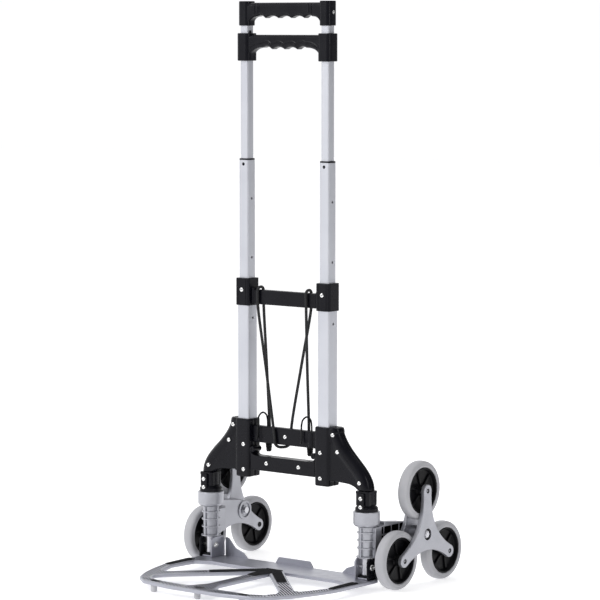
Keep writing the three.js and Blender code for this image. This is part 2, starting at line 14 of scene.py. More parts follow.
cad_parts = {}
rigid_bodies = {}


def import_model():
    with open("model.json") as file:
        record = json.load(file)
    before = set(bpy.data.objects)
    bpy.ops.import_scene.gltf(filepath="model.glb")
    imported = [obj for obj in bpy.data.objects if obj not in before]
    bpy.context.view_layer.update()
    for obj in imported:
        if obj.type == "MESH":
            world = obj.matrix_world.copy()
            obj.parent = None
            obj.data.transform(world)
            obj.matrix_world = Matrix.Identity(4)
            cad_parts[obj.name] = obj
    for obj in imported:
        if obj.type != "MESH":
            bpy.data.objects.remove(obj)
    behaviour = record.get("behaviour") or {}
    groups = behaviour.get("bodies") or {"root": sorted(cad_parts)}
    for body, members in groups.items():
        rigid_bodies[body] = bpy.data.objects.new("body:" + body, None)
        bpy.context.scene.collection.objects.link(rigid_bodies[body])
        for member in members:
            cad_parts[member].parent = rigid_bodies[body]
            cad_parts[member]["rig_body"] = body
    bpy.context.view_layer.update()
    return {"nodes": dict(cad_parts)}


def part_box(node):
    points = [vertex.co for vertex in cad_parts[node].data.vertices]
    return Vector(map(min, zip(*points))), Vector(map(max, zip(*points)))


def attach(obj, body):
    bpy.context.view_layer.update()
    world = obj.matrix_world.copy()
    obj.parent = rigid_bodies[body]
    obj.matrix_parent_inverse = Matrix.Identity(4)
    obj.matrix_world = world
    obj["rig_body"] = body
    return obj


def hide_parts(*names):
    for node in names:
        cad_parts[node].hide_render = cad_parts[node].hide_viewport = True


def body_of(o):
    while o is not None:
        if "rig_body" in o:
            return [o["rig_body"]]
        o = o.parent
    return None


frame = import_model()

MM = 0.001
POST_LOW, POST_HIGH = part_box("lower_tube_right")
LEG_Y = (POST_LOW.y + POST_HIGH.y) / 2 / MM
TO_ROW = Matrix.Diagonal((MM, MM, MM, 1)) @ Matrix.Translation((0, LEG_Y, 0))
SIDES = (("right", 1), ("left", -1))


def span(node):
    """A CAD node's lowest and highest corner in millimetres, in the posts' plane."""
    low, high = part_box(node)
    shift = Vector((0, LEG_Y, 0))
    return low / MM - shift, high / MM - shift


def middle_of(node):
    low, high = span(node)
    return [(a + b) / 2 for a, b in zip(low, high)]


def half_width(node):
    low, high = span(node)
    return (high.x - low.x) / 2


def placed(name, data):
    """A new object in the scene's own collection."""
    obj = bpy.data.objects.new(name, data)
    bpy.context.scene.collection.objects.link(obj)
    return obj


# ---- camera, floor and light

CAMERA_AZIMUTH = math.radians(38.62)
CAMERA_PITCH = math.radians(5.42)
CAMERA_AT = (3.4048, -4.1994, 1.0443)
CAMERA_LENS = 173.6
WORLD_BRIGHT, WORLD_DIM = 1.02, 0.16


def make_camera():
    data = bpy.data.cameras.new("camera")
    data.lens = CAMERA_LENS
    data.sensor_width = 36
    data.clip_end = 50
    camera = placed("camera", data)
    camera.location = CAMERA_AT
    camera.rotation_euler = (math.pi / 2 - CAMERA_PITCH, 0, CAMERA_AZIMUTH)
    bpy.context.scene.camera = camera


def make_floor():
    bm = bmesh.new()
    bmesh.ops.create_grid(bm, x_segments=1, y_segments=1, size=14)
    mesh = bpy.data.meshes.new("floor")
    bm.to_mesh(mesh)
    bm.free()
    floor = placed("floor", mesh)
    floor.location = (0, 0, -0.0005)
    floor.data.materials.append(floor_paint())


def softbox(name, at, size, energy):
    data = bpy.data.lights.new(name, "AREA")
    data.shape = "RECTANGLE"
    data.size, data.size_y = size
    data.energy = energy
    lamp = placed(name, data)
    lamp.location = at
    aim = Vector((0, 0, 0.5)) - Vector(at)
    lamp.rotation_euler = aim.to_track_quat("-Z", "Y").to_euler()


def make_light():
    """Three soft lamps and a white world that dims from -X to +X."""
    world = bpy.data.worlds.new("studio")
    world.use_nodes = True
    nodes, links = world.node_tree.nodes, world.node_tree.links
    background = nodes["Background"]
    background.inputs["Color"].default_value = (0.985, 0.987, 1.0, 1)
    direction = nodes.new("ShaderNodeSeparateXYZ")
    links.new(nodes.new("ShaderNodeTexCoord").outputs["Generated"], direction.inputs["Vector"])
    dimmer = nodes.new("ShaderNodeMapRange")
    dimmer.inputs["From Min"].default_value = -0.4
    dimmer.inputs["From Max"].default_value = 0.5
    dimmer.inputs["To Min"].default_value = WORLD_BRIGHT
    dimmer.inputs["To Max"].default_value = WORLD_DIM
    links.new(direction.outputs["X"], dimmer.inputs["Value"])
    links.new(dimmer.outputs["Result"], background.inputs["Strength"])
    bpy.context.scene.world = world
    softbox("key", (-1.4, -3.0, 2.4), (0.7, 2.2), 42)
    softbox("fill", (2.6, -1.0, 1.5), (0.12, 1.8), 12)
    softbox("top", (0.2, 0.4, 3.2), (1.6, 1.6), 22)
    bpy.context.scene.view_settings.view_transform = "Standard"


# ---- materials


class Paint:
    """A node material built step by step around one Principled shader."""

    def __init__(self, name, roughness, metallic=0.0, coat=0.0):
        self.material = bpy.data.materials.new(name)
        self.material.use_nodes = True
        self.nodes = self.material.node_tree.nodes
        self.links = self.material.node_tree.links
        self.shader = self.nodes["Principled BSDF"]
        self.shader.inputs["Metallic"].default_value = metallic
        self.shader.inputs["Roughness"].default_value = roughness
        self.shader.inputs["Coat Weight"].default_value = coat
        self.shader.inputs["Coat Roughness"].default_value = 0.2
        self.place = self.nodes.new("ShaderNodeTexCoord").outputs["Object"]
        self.height = None

    def noise(self, scale, stretch=(1, 1, 1), detail=3.0):
        mapping = self.nodes.new("ShaderNodeMapping")
        mapping.inputs["Scale"].default_value = stretch
        self.links.new(self.place, mapping.inputs["Vector"])
        noise = self.nodes.new("ShaderNodeTexNoise")
        noise.inputs["Scale"].default_value = scale
        noise.inputs["Detail"].default_value = detail
        self.links.new(mapping.outputs["Vector"], noise.inputs["Vector"])
        return noise.outputs["Fac"]

    def ramp(self, factor, low, high, start=0.3, end=0.7):
        """Runs from low to high as the factor goes from start to end."""
        ramp = self.nodes.new("ShaderNodeMapRange")
        ramp.inputs["From Min"].default_value = start
        ramp.inputs["From Max"].default_value = end
        ramp.inputs["To Min"].default_value = low
        ramp.inputs["To Max"].default_value = high
        self.links.new(factor, ramp.inputs["Value"])
        return ramp.outputs["Result"]

    def colour(self, factor, first, second, start=0.3, end=0.7):
        mix = self.nodes.new("ShaderNodeMix")
        mix.data_type = "RGBA"
        mix.inputs["A"].default_value = (*first, 1)
        mix.inputs["B"].default_value = (*second, 1)
        self.links.new(self.ramp(factor, 0, 1, start, end), mix.inputs["Factor"])
        self.links.new(mix.outputs["Result"], self.shader.inputs["Base Color"])
        return self

    def roughness(self, factor, low, high):
        self.links.new(self.ramp(factor, low, high), self.shader.inputs["Roughness"])
        return self

    def bump(self, factor, distance, strength=0.5):
        bump = self.nodes.new("ShaderNodeBump")
        bump.inputs["Distance"].default_value = distance
        bump.inputs["Strength"].default_value = strength
        self.links.new(factor, bump.inputs["Height"])
        if self.height:
            self.links.new(self.height, bump.inputs["Normal"])
        self.height = bump.outputs["Normal"]
        self.links.new(self.height, self.shader.inputs["Normal"])
        return self


def floor_paint():
    paint = Paint("floor_paint", 0.8)
    paint.shader.inputs["Specular IOR Level"].default_value = 0.1
    paint.shader.inputs["Emission Color"].default_value = (1, 1, 1, 1)
    paint.shader.inputs["Emission Strength"].default_value = 0.5
    return paint.colour(paint.noise(3), (0.88, 0.88, 0.885), (0.9, 0.9, 0.905)).material


def anodised():
    """Silver extrusion: fine lines drawn along the tube under a satin skin."""
    paint = Paint("anodised_silver", 0.36, metallic=0.7)
    drawn = paint.noise(420, (1, 1, 0.012), 4)
    cloud = paint.noise(9)
    paint.colour(cloud, (0.52, 0.53, 0.575), (0.57, 0.58, 0.62))
    paint.roughness(drawn, 0.3, 0.44)
    return paint.bump(drawn, 0.00006, 0.35).material


def moulded(name, first, second, rough, grain=900, shine=0.2):
    """Moulded plastic: an even colour with a slight cloud and a fine spark grain."""
    paint = Paint(name, rough)
    paint.shader.inputs["Specular IOR Level"].default_value = shine
    cloud = paint.noise(14)
    paint.colour(cloud, first, second)
    paint.roughness(paint.noise(40), rough - 0.05, rough + 0.07)
    return paint.bump(paint.noise(grain, detail=2), 0.00005, 0.15).material


def cast(name, first, second, rough, metallic):
    """Silver-grey paint with metal flake and the slight orange peel of a sprayed coat."""
    paint = Paint(name, rough, metallic, 0.15)
    flake = paint.noise(2600, detail=1)
    paint.colour(flake, first, second, 0.35, 0.65)
    paint.roughness(paint.noise(60), rough - 0.05, rough + 0.08)
    return paint.bump(paint.noise(260, detail=2), 0.0001, 0.25).material


def polished(name, first, second, rough):
    paint = Paint(name, rough, 1.0)
    scratches = paint.noise(700, (1, 1, 0.1), 5)
    paint.colour(scratches, first, second)
    paint.roughness(scratches, rough - 0.06, rough + 0.1)
    return paint.bump(scratches, 0.00003, 0.3).material


def rubber(name, first, second, rough, grain=500):
    paint = Paint(name, rough)
    paint.shader.inputs["Specular IOR Level"].default_value = 0.2
    paint.colour(paint.noise(22, detail=5), first, second)
    paint.roughness(paint.noise(70), rough - 0.08, rough + 0.06)
    return paint.bump(paint.noise(grain, detail=3), 0.00015, 0.4).material


def braided():
    """Woven jacket of the elastic cord, drawn on the cord's own length and turn."""
    paint = Paint("braided_cord", 0.7)
    turn = paint.nodes.new("ShaderNodeUVMap")
    turn.uv_map = "along"
    split = paint.nodes.new("ShaderNodeSeparateXYZ")
    paint.links.new(turn.outputs["UV"], split.inputs["Vector"])

    def strand(direction):
        lean = paint.nodes.new("ShaderNodeMath")
        lean.operation = "MULTIPLY_ADD"
        lean.inputs[1].default_value = direction
        paint.links.new(split.outputs["X"], lean.inputs[0])
        paint.links.new(split.outputs["Y"], lean.inputs[2])
        wave = paint.nodes.new("ShaderNodeMath")
        wave.operation = "SINE"
        paint.links.new(lean.outputs[0], wave.inputs[0])
        return wave.outputs[0]

    crossed = paint.nodes.new("ShaderNodeMath")
    crossed.operation = "MULTIPLY"
    paint.links.new(strand(1), crossed.inputs[0])
    paint.links.new(strand(-1), crossed.inputs[1])
    paint.colour(crossed.outputs[0], (0.002, 0.002, 0.003), (0.010, 0.010, 0.012), -0.6, 0.6)
    return paint.bump(crossed.outputs[0], 0.0004, 0.7).material


SILVER = anodised()
PLASTIC = moulded("black_nylon", (0.0035, 0.0035, 0.006), (0.006, 0.006, 0.009), 0.27, shine=0.15)
STEEL_BLACK = moulded("black_powder_coat", (0.0035, 0.0035, 0.005), (0.006, 0.006, 0.008), 0.3, 1400)
GREY = cast("grey_casting", (0.36, 0.365, 0.40), (0.44, 0.445, 0.48), 0.34, 0.7)
# Near-black paint for the swing arms' pocket floors and walls: painted shade inside the pockets of the
# grey arm.
POCKET_PAINTED_SHADE = moulded("pocket_shadow", (0.003, 0.003, 0.004), (0.006, 0.006, 0.007), 0.6, shine=0.08)
PLATE = cast("plate_silver", (0.33, 0.335, 0.385), (0.41, 0.415, 0.465), 0.34, 0.65)
# Near-black paint on the plate's tread bars: painted shade of the grooves between the treads on the silver
# plate.
TREAD_PAINTED_SHADE = moulded("tread_painted_shade", (0.02, 0.02, 0.026), (0.03, 0.03, 0.038), 0.9, shine=0.0)
BRIGHT = polished("bright_zinc", (0.78, 0.78, 0.77), (0.9, 0.9, 0.9), 0.22)
SATIN_STEEL = polished("satin_steel", (0.58, 0.58, 0.62), (0.68, 0.68, 0.71), 0.36)
PAD = rubber("pad_rubber", (0.009, 0.009, 0.010), (0.016, 0.016, 0.018), 0.8)
FOOT = rubber("foot_rubber", (0.48, 0.48, 0.50), (0.54, 0.54, 0.56), 0.75)
TYRE = rubber("tyre_rubber", (0.42, 0.42, 0.445), (0.47, 0.47, 0.49), 0.55)
HUB = moulded("hub_nylon", (0.002, 0.002, 0.003), (0.004, 0.004, 0.005), 0.36, shine=0.12)
CORD = braided()
HOOK = moulded("hook_coating", (0.006, 0.006, 0.007), (0.010, 0.010, 0.012), 0.28, 1500)


# ---- outlines


def fillet(points, radius, steps=4, closed=True):
    """An outline with each of its corners rounded off."""
    rounded = []
    for i, point in enumerate(points):
        here = Vector(point)
        before = Vector(points[i - 1]) - here
        after = Vector(points[(i + 1) % len(points)]) - here
        is_end = not closed and i in (0, len(points) - 1)
        if is_end or before.angle(after) > math.radians(172):
            rounded.append(tuple(here))
            continue
        reach = radius / math.tan(before.angle(after) / 2)
        reach = min(reach, 0.49 * before.length, 0.49 * after.length)
        start = here + before.normalized() * reach
        end = here + after.normalized() * reach
        for k in range(steps + 1):
            t = k / steps
            rounded.append(tuple((1 - t) ** 2 * start + 2 * t * (1 - t) * here + t * t * end))
    return rounded


def rectangle(x0, x1, y0, y1, radius=0.0, steps=6):
    corners = [(x0, y0), (x1, y0), (x1, y1), (x0, y1)]
    if not radius:
        return corners
    points = []
    centres = [(x1 - radius, y0 + radius, -90), (x1 - radius, y1 - radius, 0)]
    centres += [(x0 + radius, y1 - radius, 90), (x0 + radius, y0 + radius, 180)]
    for cx, cy, first in centres:
        for k in range(steps + 1):
            angle = math.radians(first + 90 * k / steps)
            points.append((cx + radius * math.cos(angle), cy + radius * math.sin(angle)))
    return points


def square(x, y, half, radius, steps=8):
    return rectangle(x - half, x + half, y - half, y + half, radius, steps)


def circle(radius, centre=(0, 0), sides=48):
    turn = 2 * math.pi / sides
    cx, cy = centre
    return [
        (cx + radius * math.cos(turn * k), cy + radius * math.sin(turn * k)) for k in range(sides)
    ]


def curve(start, pull, end, steps=10):
    """Points of a quadratic curve, without its first point."""
    a, b, c = Vector(start), Vector(pull), Vector(end)
    steps_done = [k / steps for k in range(1, steps + 1)]
    return [tuple((1 - t) ** 2 * a + 2 * t * (1 - t) * b + t * t * c) for t in steps_done]


# ---- solids in millimetres


def oriented(u, v, w, axis):
    """A point from its outline place (u, v) and its depth w along the axis."""
    return {"x": (w, u, v), "y": (u, w, v), "z": (u, v, w)}[axis]


def shell(rings, capped=True):
    """A closed skin through rings of points, each ring with as many points as the others."""
    bm = bmesh.new()
    rows = [[bm.verts.new(p) for p in ring] for ring in rings]
    pairs = list(zip(rows, rows[1:]))
    if not capped:
        pairs.append((rows[-1], rows[0]))
    for low, high in pairs:
        for i in range(len(low)):
            j = (i + 1) % len(low)
            bm.faces.new((low[i], low[j], high[j], high[i]))
    if capped:
        bm.faces.new(list(reversed(rows[0])))
        bm.faces.new(rows[-1])
    bmesh.ops.recalc_face_normals(bm, faces=bm.faces)
    return bm


def prism(outline, a, b, axis):
    return shell([[oriented(u, v, w, axis) for u, v in outline] for w in (a, b)])


def block(x0, x1, y0, y1, z0, z1):
    return prism(rectangle(x0, x1, y0, y1), z0, z1, "z")


def turned(profile, axis="z", at=(0, 0, 0), sides=64):
    """A turned solid from [radius, height] points; a profile off the axis closes on itself."""
    solid = profile[0][0] == 0
    ring = []
    for radius, height in profile:
        step = 2 * math.pi / sides
        r = max(radius, 1e-3)
        around = [(r * math.cos(step * k), r * math.sin(step * k)) for k in range(sides)]
        ring.append([oriented(u, v, height, axis) for u, v in around])
    bm = shell(ring, capped=solid)
    if solid:
        bmesh.ops.remove_doubles(bm, verts=bm.verts, dist=0.005)
    bmesh.ops.translate(bm, verts=bm.verts, vec=at)
    return bm


def rod(radius, a, b, axis, at=(0, 0, 0), sides=32):
    return turned([(0, a), (radius, a), (radius, b), (0, b)], axis, at, sides)


def smooth_path(points, steps):
    """A finer route through the points of a centripetal Catmull-Rom spline."""
    knots = [Vector(p) for p in points]
    knots = [2 * knots[0] - knots[1], *knots, 2 * knots[-1] - knots[-2]]
    route = []
    for i in range(1, len(knots) - 2):
        p0, p1, p2, p3 = knots[i - 1 : i + 3]
        t1 = (p1 - p0).length ** 0.5
        t2 = t1 + (p2 - p1).length ** 0.5
        t3 = t2 + (p3 - p2).length ** 0.5
        for k in range(steps):
            t = t1 + (t2 - t1) * k / steps
            a1 = p0.lerp(p1, t / t1)
            a2 = p1.lerp(p2, (t - t1) / (t2 - t1))
            a3 = p2.lerp(p3, (t - t2) / (t3 - t2))
            b1 = a1.lerp(a2, t / t2)
            b2 = a2.lerp(a3, (t - t1) / (t3 - t1))
            route.append(b1.lerp(b2, (t - t1) / (t2 - t1)))
    route.append(knots[-2])
    return route


def sweep(route, radius, sides=16, weave=None):
    """A round bar along a route; weave gives it a lengthwise texture map."""
    points = [Vector(p) for p in route]
    radii = radius if isinstance(radius, list) else [radius] * len(points)
    side = Vector((0, 1, 0))
    rings = []
    for i, point in enumerate(points):
        forward = points[min(i + 1, len(points) - 1)] - points[max(i - 1, 0)]
        forward.normalize()
        side = side - forward * side.dot(forward)
        if side.length < 1e-3:
            side = forward.orthogonal()
        side.normalize()
        over = forward.cross(side)
        turn = 2 * math.pi / sides
        rings.append(
            [
                point + (side * math.cos(turn * k) + over * math.sin(turn * k)) * radii[i]
                for k in range(sides)
            ]
        )
    bm = shell(rings)
    if weave:
        lengths = [0.0]
        for a, b in zip(points, points[1:]):
            lengths.append(lengths[-1] + (b - a).length)
        bm.verts.index_update()
        layer = bm.loops.layers.uv.new("along")
        for face in bm.faces:
            columns = [loop.vert.index % sides for loop in face.loops]
            wraps = max(columns) - min(columns) > sides / 2
            for loop, column in zip(face.loops, columns):
                turn_at = column + sides if wraps and column < sides / 2 else column
                ring_at = min(loop.vert.index // sides, len(lengths) - 1)
                u = turn_at / sides * 2 * math.pi * weave["around"]
                v = lengths[ring_at] / weave["pitch"] * 2 * math.pi
                loop[layer].uv = (u, v)
    return bm


def loose(bm):
    mesh = bpy.data.meshes.new("work")
    bm.to_mesh(mesh)
    bm.free()
    return placed("work", mesh)


def evaluated(obj):
    """The object's mesh with its modifiers as a new bmesh. The object is thrown away."""
    bpy.context.view_layer.update()
    graph = bpy.context.evaluated_depsgraph_get()
    result = bmesh.new()
    result.from_mesh(obj.evaluated_get(graph).to_mesh())
    bpy.data.objects.remove(obj)
    return result


def boolean(base, tool, operation):
    first, second = loose(base), loose(tool)
    modifier = first.modifiers.new("boolean", "BOOLEAN")
    modifier.operation = operation
    modifier.object = second
    modifier.solver = "EXACT"
    result = evaluated(first)
    bpy.data.objects.remove(second)
    bmesh.ops.dissolve_limit(
        result, angle_limit=math.radians(0.4), verts=result.verts, edges=result.edges
    )
    return result


def join(base, *others):
    for other in others:
        base = boolean(base, other, "UNION")
    return base


def cut(base, *tools):
    for tool in tools:
        base = boolean(base, tool, "DIFFERENCE")
    return base


def together(*solids):
    """Separate solids in one mesh, without joining them."""
    base = solids[0]
    for other in solids[1:]:
        mesh = bpy.data.meshes.new("work")
        other.to_mesh(mesh)
        other.free()
        base.from_mesh(mesh)
        bpy.data.meshes.remove(mesh)
    return base


def soften(bm, width, segments=3, angle=30, where=None):
    """Rounds the edges that turn more than the angle, or only those that where() accepts."""
    limit = math.radians(angle)
    edges = [
        e
        for e in bm.edges
        if len(e.link_faces) == 2
        and e.calc_face_angle(0) > limit
        and (where is None or where((e.verts[0].co + e.verts[1].co) / 2))
    ]
    bmesh.ops.bevel(
        bm, geom=edges, offset=width, segments=segments, affect="EDGES", profile=0.5,
        clamp_overlap=False,
    )
    return bm


def moulding(bm, voxel, passes):
    """Melts joined solids into one skin with the filleted corners of a moulded part."""
    obj = loose(bm)
    modifier = obj.modifiers.new("remesh", "REMESH")
    modifier.mode = "VOXEL"
    modifier.voxel_size = voxel
    result = evaluated(obj)
    for _ in range(passes):
        bmesh.ops.smooth_vert(
            result, verts=result.verts, factor=0.5, use_axis_x=True, use_axis_y=True,
            use_axis_z=True,
        )
    return result


def mirrored(bm, sign):
    if sign < 0:
        bmesh.ops.scale(bm, vec=(-1, 1, 1), verts=bm.verts)
        bmesh.ops.reverse_faces(bm, faces=bm.faces)
    return bm


# ---- finishing a piece


def show(name, bm, material, body, slot, replaces=(), sharp=38, weighted=True):
    """Puts a solid into the scene as a piece that rides on a body."""
    bm.transform(TO_ROW)
    mesh = bpy.data.meshes.new(name)
    bm.to_mesh(mesh)
    bm.free()
    mesh.shade_smooth()
    mesh.set_sharp_from_angle(angle=math.radians(sharp))
    for paint in material if isinstance(material, tuple) else (material,):
        mesh.materials.append(paint)
    piece = placed(name, mesh)
    if weighted:
        normals = piece.modifiers.new("normals", "WEIGHTED_NORMAL")
        normals.keep_sharp = True
    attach(piece, body)
    if replaces:
        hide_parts(*replaces)
    return piece


def stand_in(node, bm, material, slot, **options):
    """A fine piece in place of one CAD node, on the same body."""
    body = body_of(frame["nodes"][node])[0]
    return show(f"{node}_fine", bm, material, body, slot, (node,), **options)


# ---- fasteners


def set_on(bm, at, axis="y", outward=-1):
    """Turns a fastener that points along +Y to the way it leaves its face, and places it."""
    bmesh.ops.scale(bm, vec=(1, outward, 1), verts=bm.verts)
    if axis == "x":
        bmesh.ops.rotate(bm, verts=bm.verts, matrix=Matrix.Rotation(-math.pi / 2, 3, "Z"))
    bmesh.ops.translate(bm, verts=bm.verts, vec=at)
    bmesh.ops.recalc_face_normals(bm, faces=bm.faces)
    return bm


def rivet(at, radius=4.2, axis="y", outward=-1):
    """A pop rivet: a domed flange round a hollow stem."""
    r = radius
    profile = [(0, -1.3), (0.24 * r, -1.2), (0.26 * r, 0.9), (0.36 * r, 1.55), (0.55 * r, 1.55)]
    profile += [(0.82 * r, 1.0), (0.97 * r, 0.35), (r, 0), (r, -0.3), (0, -0.3)]
    return set_on(turned(profile, "y", sides=28), at, axis, outward)


def rivets(name, body, places, **options):
    show(name, together(*[rivet(at, **options) for at in places]), BRIGHT, body, "bright_steel",
         weighted=False)


def rivets_both_ways(name, suffix, places):
    """Rivets of the frame's front face, and the same ones mirrored on its back."""
    rivets(f"{name}_rivets{suffix}", "frame", places)
    back = [(x, -y, z) for x, y, z in places]
    rivets(f"{name}_rear_rivets{suffix}", "frame", back, outward=1)


# ---- posts

CORNER = 3
FIT = 0.3
TUBE_WALL = 1.6
HOLE_R = 2.4
LOWER_HOLES = (491,)
MIDDLE_HOLES = (606, 718)


def square_tube(node, hole_heights):
    low, high = span(node)
    x, y, _ = middle_of(node)
    half = half_width(node)
    outer = square(x, y, half, CORNER)
    inner = square(x, y, half - TUBE_WALL, CORNER - 1.5)
    bm = cut(prism(outer, low.z, high.z, "z"), prism(inner, low.z - 5, high.z + 5, "z"))
    for z in hole_heights:
        bm = cut(bm, rod(HOLE_R, x - half - 5, x + half + 5, "x", (0, y, z)))
    soften(bm, 0.35, 2, 60, lambda p: abs(p.z - high.z) < 0.01 or abs(p.z - low.z) < 0.01)
    return bm


def make_posts():
    for side, _ in SIDES:
        for stage, holes in (("lower", LOWER_HOLES), ("middle", MIDDLE_HOLES), ("upper", ())):
            node = f"{stage}_tube_{side}"
            stand_in(node, square_tube(node, holes), SILVER, "silver_tube", sharp=50)
        bush = f"guide_bush_{side}"
        low, high = span(bush)
        x, y, _ = middle_of(bush)
        half = half_width(bush)
        bore = square(x, y, half_width(f"upper_tube_{side}") + FIT, CORNER)
        collar = prism(square(x, y, half, CORNER), low.z, high.z, "z")
        collar = cut(collar, prism(bore, low.z - 2, high.z + 2, "z"))
        soften(collar, 0.7, 3, 60, lambda p: p.z > high.z - 0.01)
        stand_in(bush, collar, PLASTIC, "black_plastic")
        peg = turned([(0, -0.8), (3.4, -0.8), (3.4, -0.2), (2.6, 0.5), (0, 0.7)], "y", sides=28)
        set_on(peg, (x, y - half, low.z - 8))
        show(f"bush_peg_{side}", peg, PLASTIC, "middle_stage", "black_plastic")


# ---- handles

POST_X = (POST_LOW.x + POST_HIGH.x) / 2 / MM
POST_HALF = POST_HIGH.x / MM - POST_X + FIT
GRIP_END = POST_X - 10
UPPER_CUSPS = (-46.5, -15.5, 15.5, 46.5)
LOWER_CUSPS = (-30, 0, 30)
HANDLE_SCREW_Z = 1069


def grip_bottom(low, bottom, arch, cusps):
    """The grip's lower edge as [x, z] points from one socket to the other."""
    points = [(-GRIP_END, low)]
    points += curve((-GRIP_END, low), (-GRIP_END + 6, bottom + 3), (-arch, bottom + 3), 14)
    stops = [-arch, *cusps, arch]
    heights = [bottom + 3, *[bottom] * len(cusps), bottom + 3]
    for i in range(len(stops) - 1):
        a, b = stops[i], stops[i + 1]
        pull = ((a + b) / 2, bottom + 8.4)
        points += curve((a, heights[i]), pull, (b, heights[i + 1]), 12)
    points += curve((arch, bottom + 3), (GRIP_END - 6, bottom + 3), (GRIP_END, low), 14)
    return points


def grip(bottom_edge, top, depth, relief):
    """A grip lofted along X: a rounded section that follows the scalloped lower edge."""
    across = 8
    upright = 22
    rings = []
    for x, z_low in bottom_edge:
        corner = min(6.5, depth / 2 - 1)
        section = rectangle(-depth / 2, depth / 2, z_low, top, corner, across)
        fine = []
        for i, (y, z) in enumerate(section):
            fine.append((y, z))
            y_next, z_next = section[(i + 1) % len(section)]
            if abs(z_next - z) > 4 and abs(y_next - y) < 1e-6:
                for k in range(1, upright):
                    fine.append((y, z + (z_next - z) * k / upright))
        pressed = []
        for y, z in fine:
            inset = relief(x, z - z_low, top - z)
            pressed.append((x, y - math.copysign(inset, y) if abs(y) > 3 else y, z))
        rings.append(pressed)
    return shell(rings)


def step(value, start, end):
    t = min(max((value - start) / (end - start), 0), 1)
    return t * t * (3 - 2 * t)


def trough(value, centre, width):
    """1 in the middle of a groove, 0 outside it."""
    return 1 - step(abs(value - centre), width * 0.3, width)


def upper_relief(x, from_low, from_top):
    grooves = max(trough(abs(x), 68, 2.2), trough(abs(x), 61, 1.6))
    panel = 1 - step(abs(x), 57, 59)
    bands = min(step(from_low, 4, 6.5), step(from_top, 5, 7))
    return 1.0 * grooves + 0.9 * panel * bands


def lower_relief(x, from_low, from_top):
    line = trough(from_low, 8.5, 1.4)
    ends = 1 - step(abs(x), GRIP_END - 8, GRIP_END - 4)
    panel = min(step(from_low, 11, 13), step(from_top, 4, 6))
    return ends * max(0.9 * line, 0.5 * panel)


def finer(points, gap):
    """The same broken line with no stretch longer than the gap."""
    out = [points[0]]
    for a, b in zip(points, points[1:]):
        count = max(1, math.ceil(math.dist(a, b) / gap))
        out += [(a[0] + (b[0] - a[0]) * k / count, a[1] + (b[1] - a[1]) * k / count)
                for k in range(1, count + 1)]
    return [p for i, p in enumerate(out) if i == 0 or p[0] - out[i - 1][0] > 0.05]


def handle(node, bottom_edge, top, depth, socket, bore_top, relief):
    low, high = span(node)
    solid = grip(finer(bottom_edge, 1.1), top, depth, relief)
    tube_half = half_width("upper_tube_right") + FIT
    for x in (POST_X, -POST_X):
        column = prism(square(x, 0, socket / 2, 10, 10), low.z, high.z, "z")
        solid = join(solid, soften(column, 1.6, 4, 60))
        bore = square(x, 0, tube_half, CORNER, 6)
        solid = cut(solid, prism(bore, low.z - 5, bore_top, "z"))
    return solid


def make_handles():
    upper = grip_bottom(1047, 1058, 66, UPPER_CUSPS)
    solid = handle("upper_handle", upper, 1087, 22, 27, 1078.3, upper_relief)
    stand_in("upper_handle", solid, PLASTIC, "black_plastic", sharp=45)
    lower = grip_bottom(982, 1000, 52, LOWER_CUSPS)
    above = span("lower_handle")[1].z + 5
    solid = handle("lower_handle", lower, 1027, 23, 31, above, lower_relief)
    low, high = span("release_button")
    pocket = block(low.x - FIT, high.x + FIT, low.y - FIT, high.y + FIT, low.z - 4, above)
    stand_in("lower_handle", cut(solid, pocket), PLASTIC, "black_plastic", sharp=45)
    button = soften(block(low.x, high.x, low.y, high.y, low.z, high.z), 1.1, 4, 30)
    stand_in("release_button", button, PLASTIC, "black_plastic")
    at = [(sign * (POST_X + 13.5), 0, HANDLE_SCREW_Z) for _, sign in SIDES]
    parts = [rivet(place, 3.6, "x", -1 if place[0] > 0 else 1) for place in at]
    show("handle_screws", together(*parts), BRIGHT, "upper_stage", "bright_steel", weighted=False)


# ---- clamp and crossbar


CROSSBAR_LOW, CROSSBAR_HIGH = 518, 546
CLAMP_RIVET_Z = 545


def make_clamp():
    """The two sleeves over the tube ends, joined by the crossbar."""
    low, high = span("clamp_bridge")
    half = high.x - POST_X
    mouth_half = half_width("middle_tube_right") + 0.4
    bar = rectangle(-7, 7, CROSSBAR_LOW, CROSSBAR_HIGH, 3)
    solid = prism(bar, -POST_X + 15, POST_X - 15, "x")
    for x in (POST_X, -POST_X):
        sleeve = soften(prism(square(x, 0, half, 5), low.z, high.z, "z"), 1.2, 3, 60)
        solid = join(solid, sleeve)
        inward = x - math.copysign(half + 2.5, x)
        for y in (-3.5, 3.5):
            boss = rod(5.2, CROSSBAR_LOW + 0.5, CROSSBAR_HIGH + 3, "z", (inward, y, 0))
            solid = join(solid, soften(boss, 1.2, 3, 60))
    for x in (POST_X, -POST_X):
        pocket = square(x, 0, POST_HALF, CORNER)
        mouth = square(x, 0, mouth_half, CORNER)
        solid = cut(solid, prism(pocket, low.z - 5, high.z - 1.7, "z"))
        solid = cut(solid, prism(mouth, low.z - 5, high.z + 5, "z"))
        for dx in (-9.5, 9.5):
            for y in (-half, half):
                solid = cut(solid, rod(0.8, low.z - 2, high.z + 2, "z", (x + dx, y, 0), 12))
    stand_in("clamp_bridge", solid, PLASTIC, "black_plastic", sharp=40)
    rivets_both_ways("clamp", "", [(sign * POST_X - 1, -half, CLAMP_RIVET_Z) for _, sign in SIDES])


# ---- shoulders and lower bars

LEG_X = middle_of("leg_shaft_right")[0]
RIDGE_R = 15
LEG_TUBE_R = 11.8
SHAFT_BORE = 7.5
SHOULDER_LOW, SHOULDER_HIGH = 186, 298.5
RIDGE_RIVETS = ((120.5, 285), (131.5, 254), (183, 200.5))
POST_RIVETS_Z = (249.5, 201)
UPPER_BAR_RIVET_Z, LOWER_BAR_RIVET_Z = 270, 216.5
LEG_KNOTS = [(114, 0, 304), (123, 0, 243), (LEG_X, 0, 223), (LEG_X, 0, 186)]


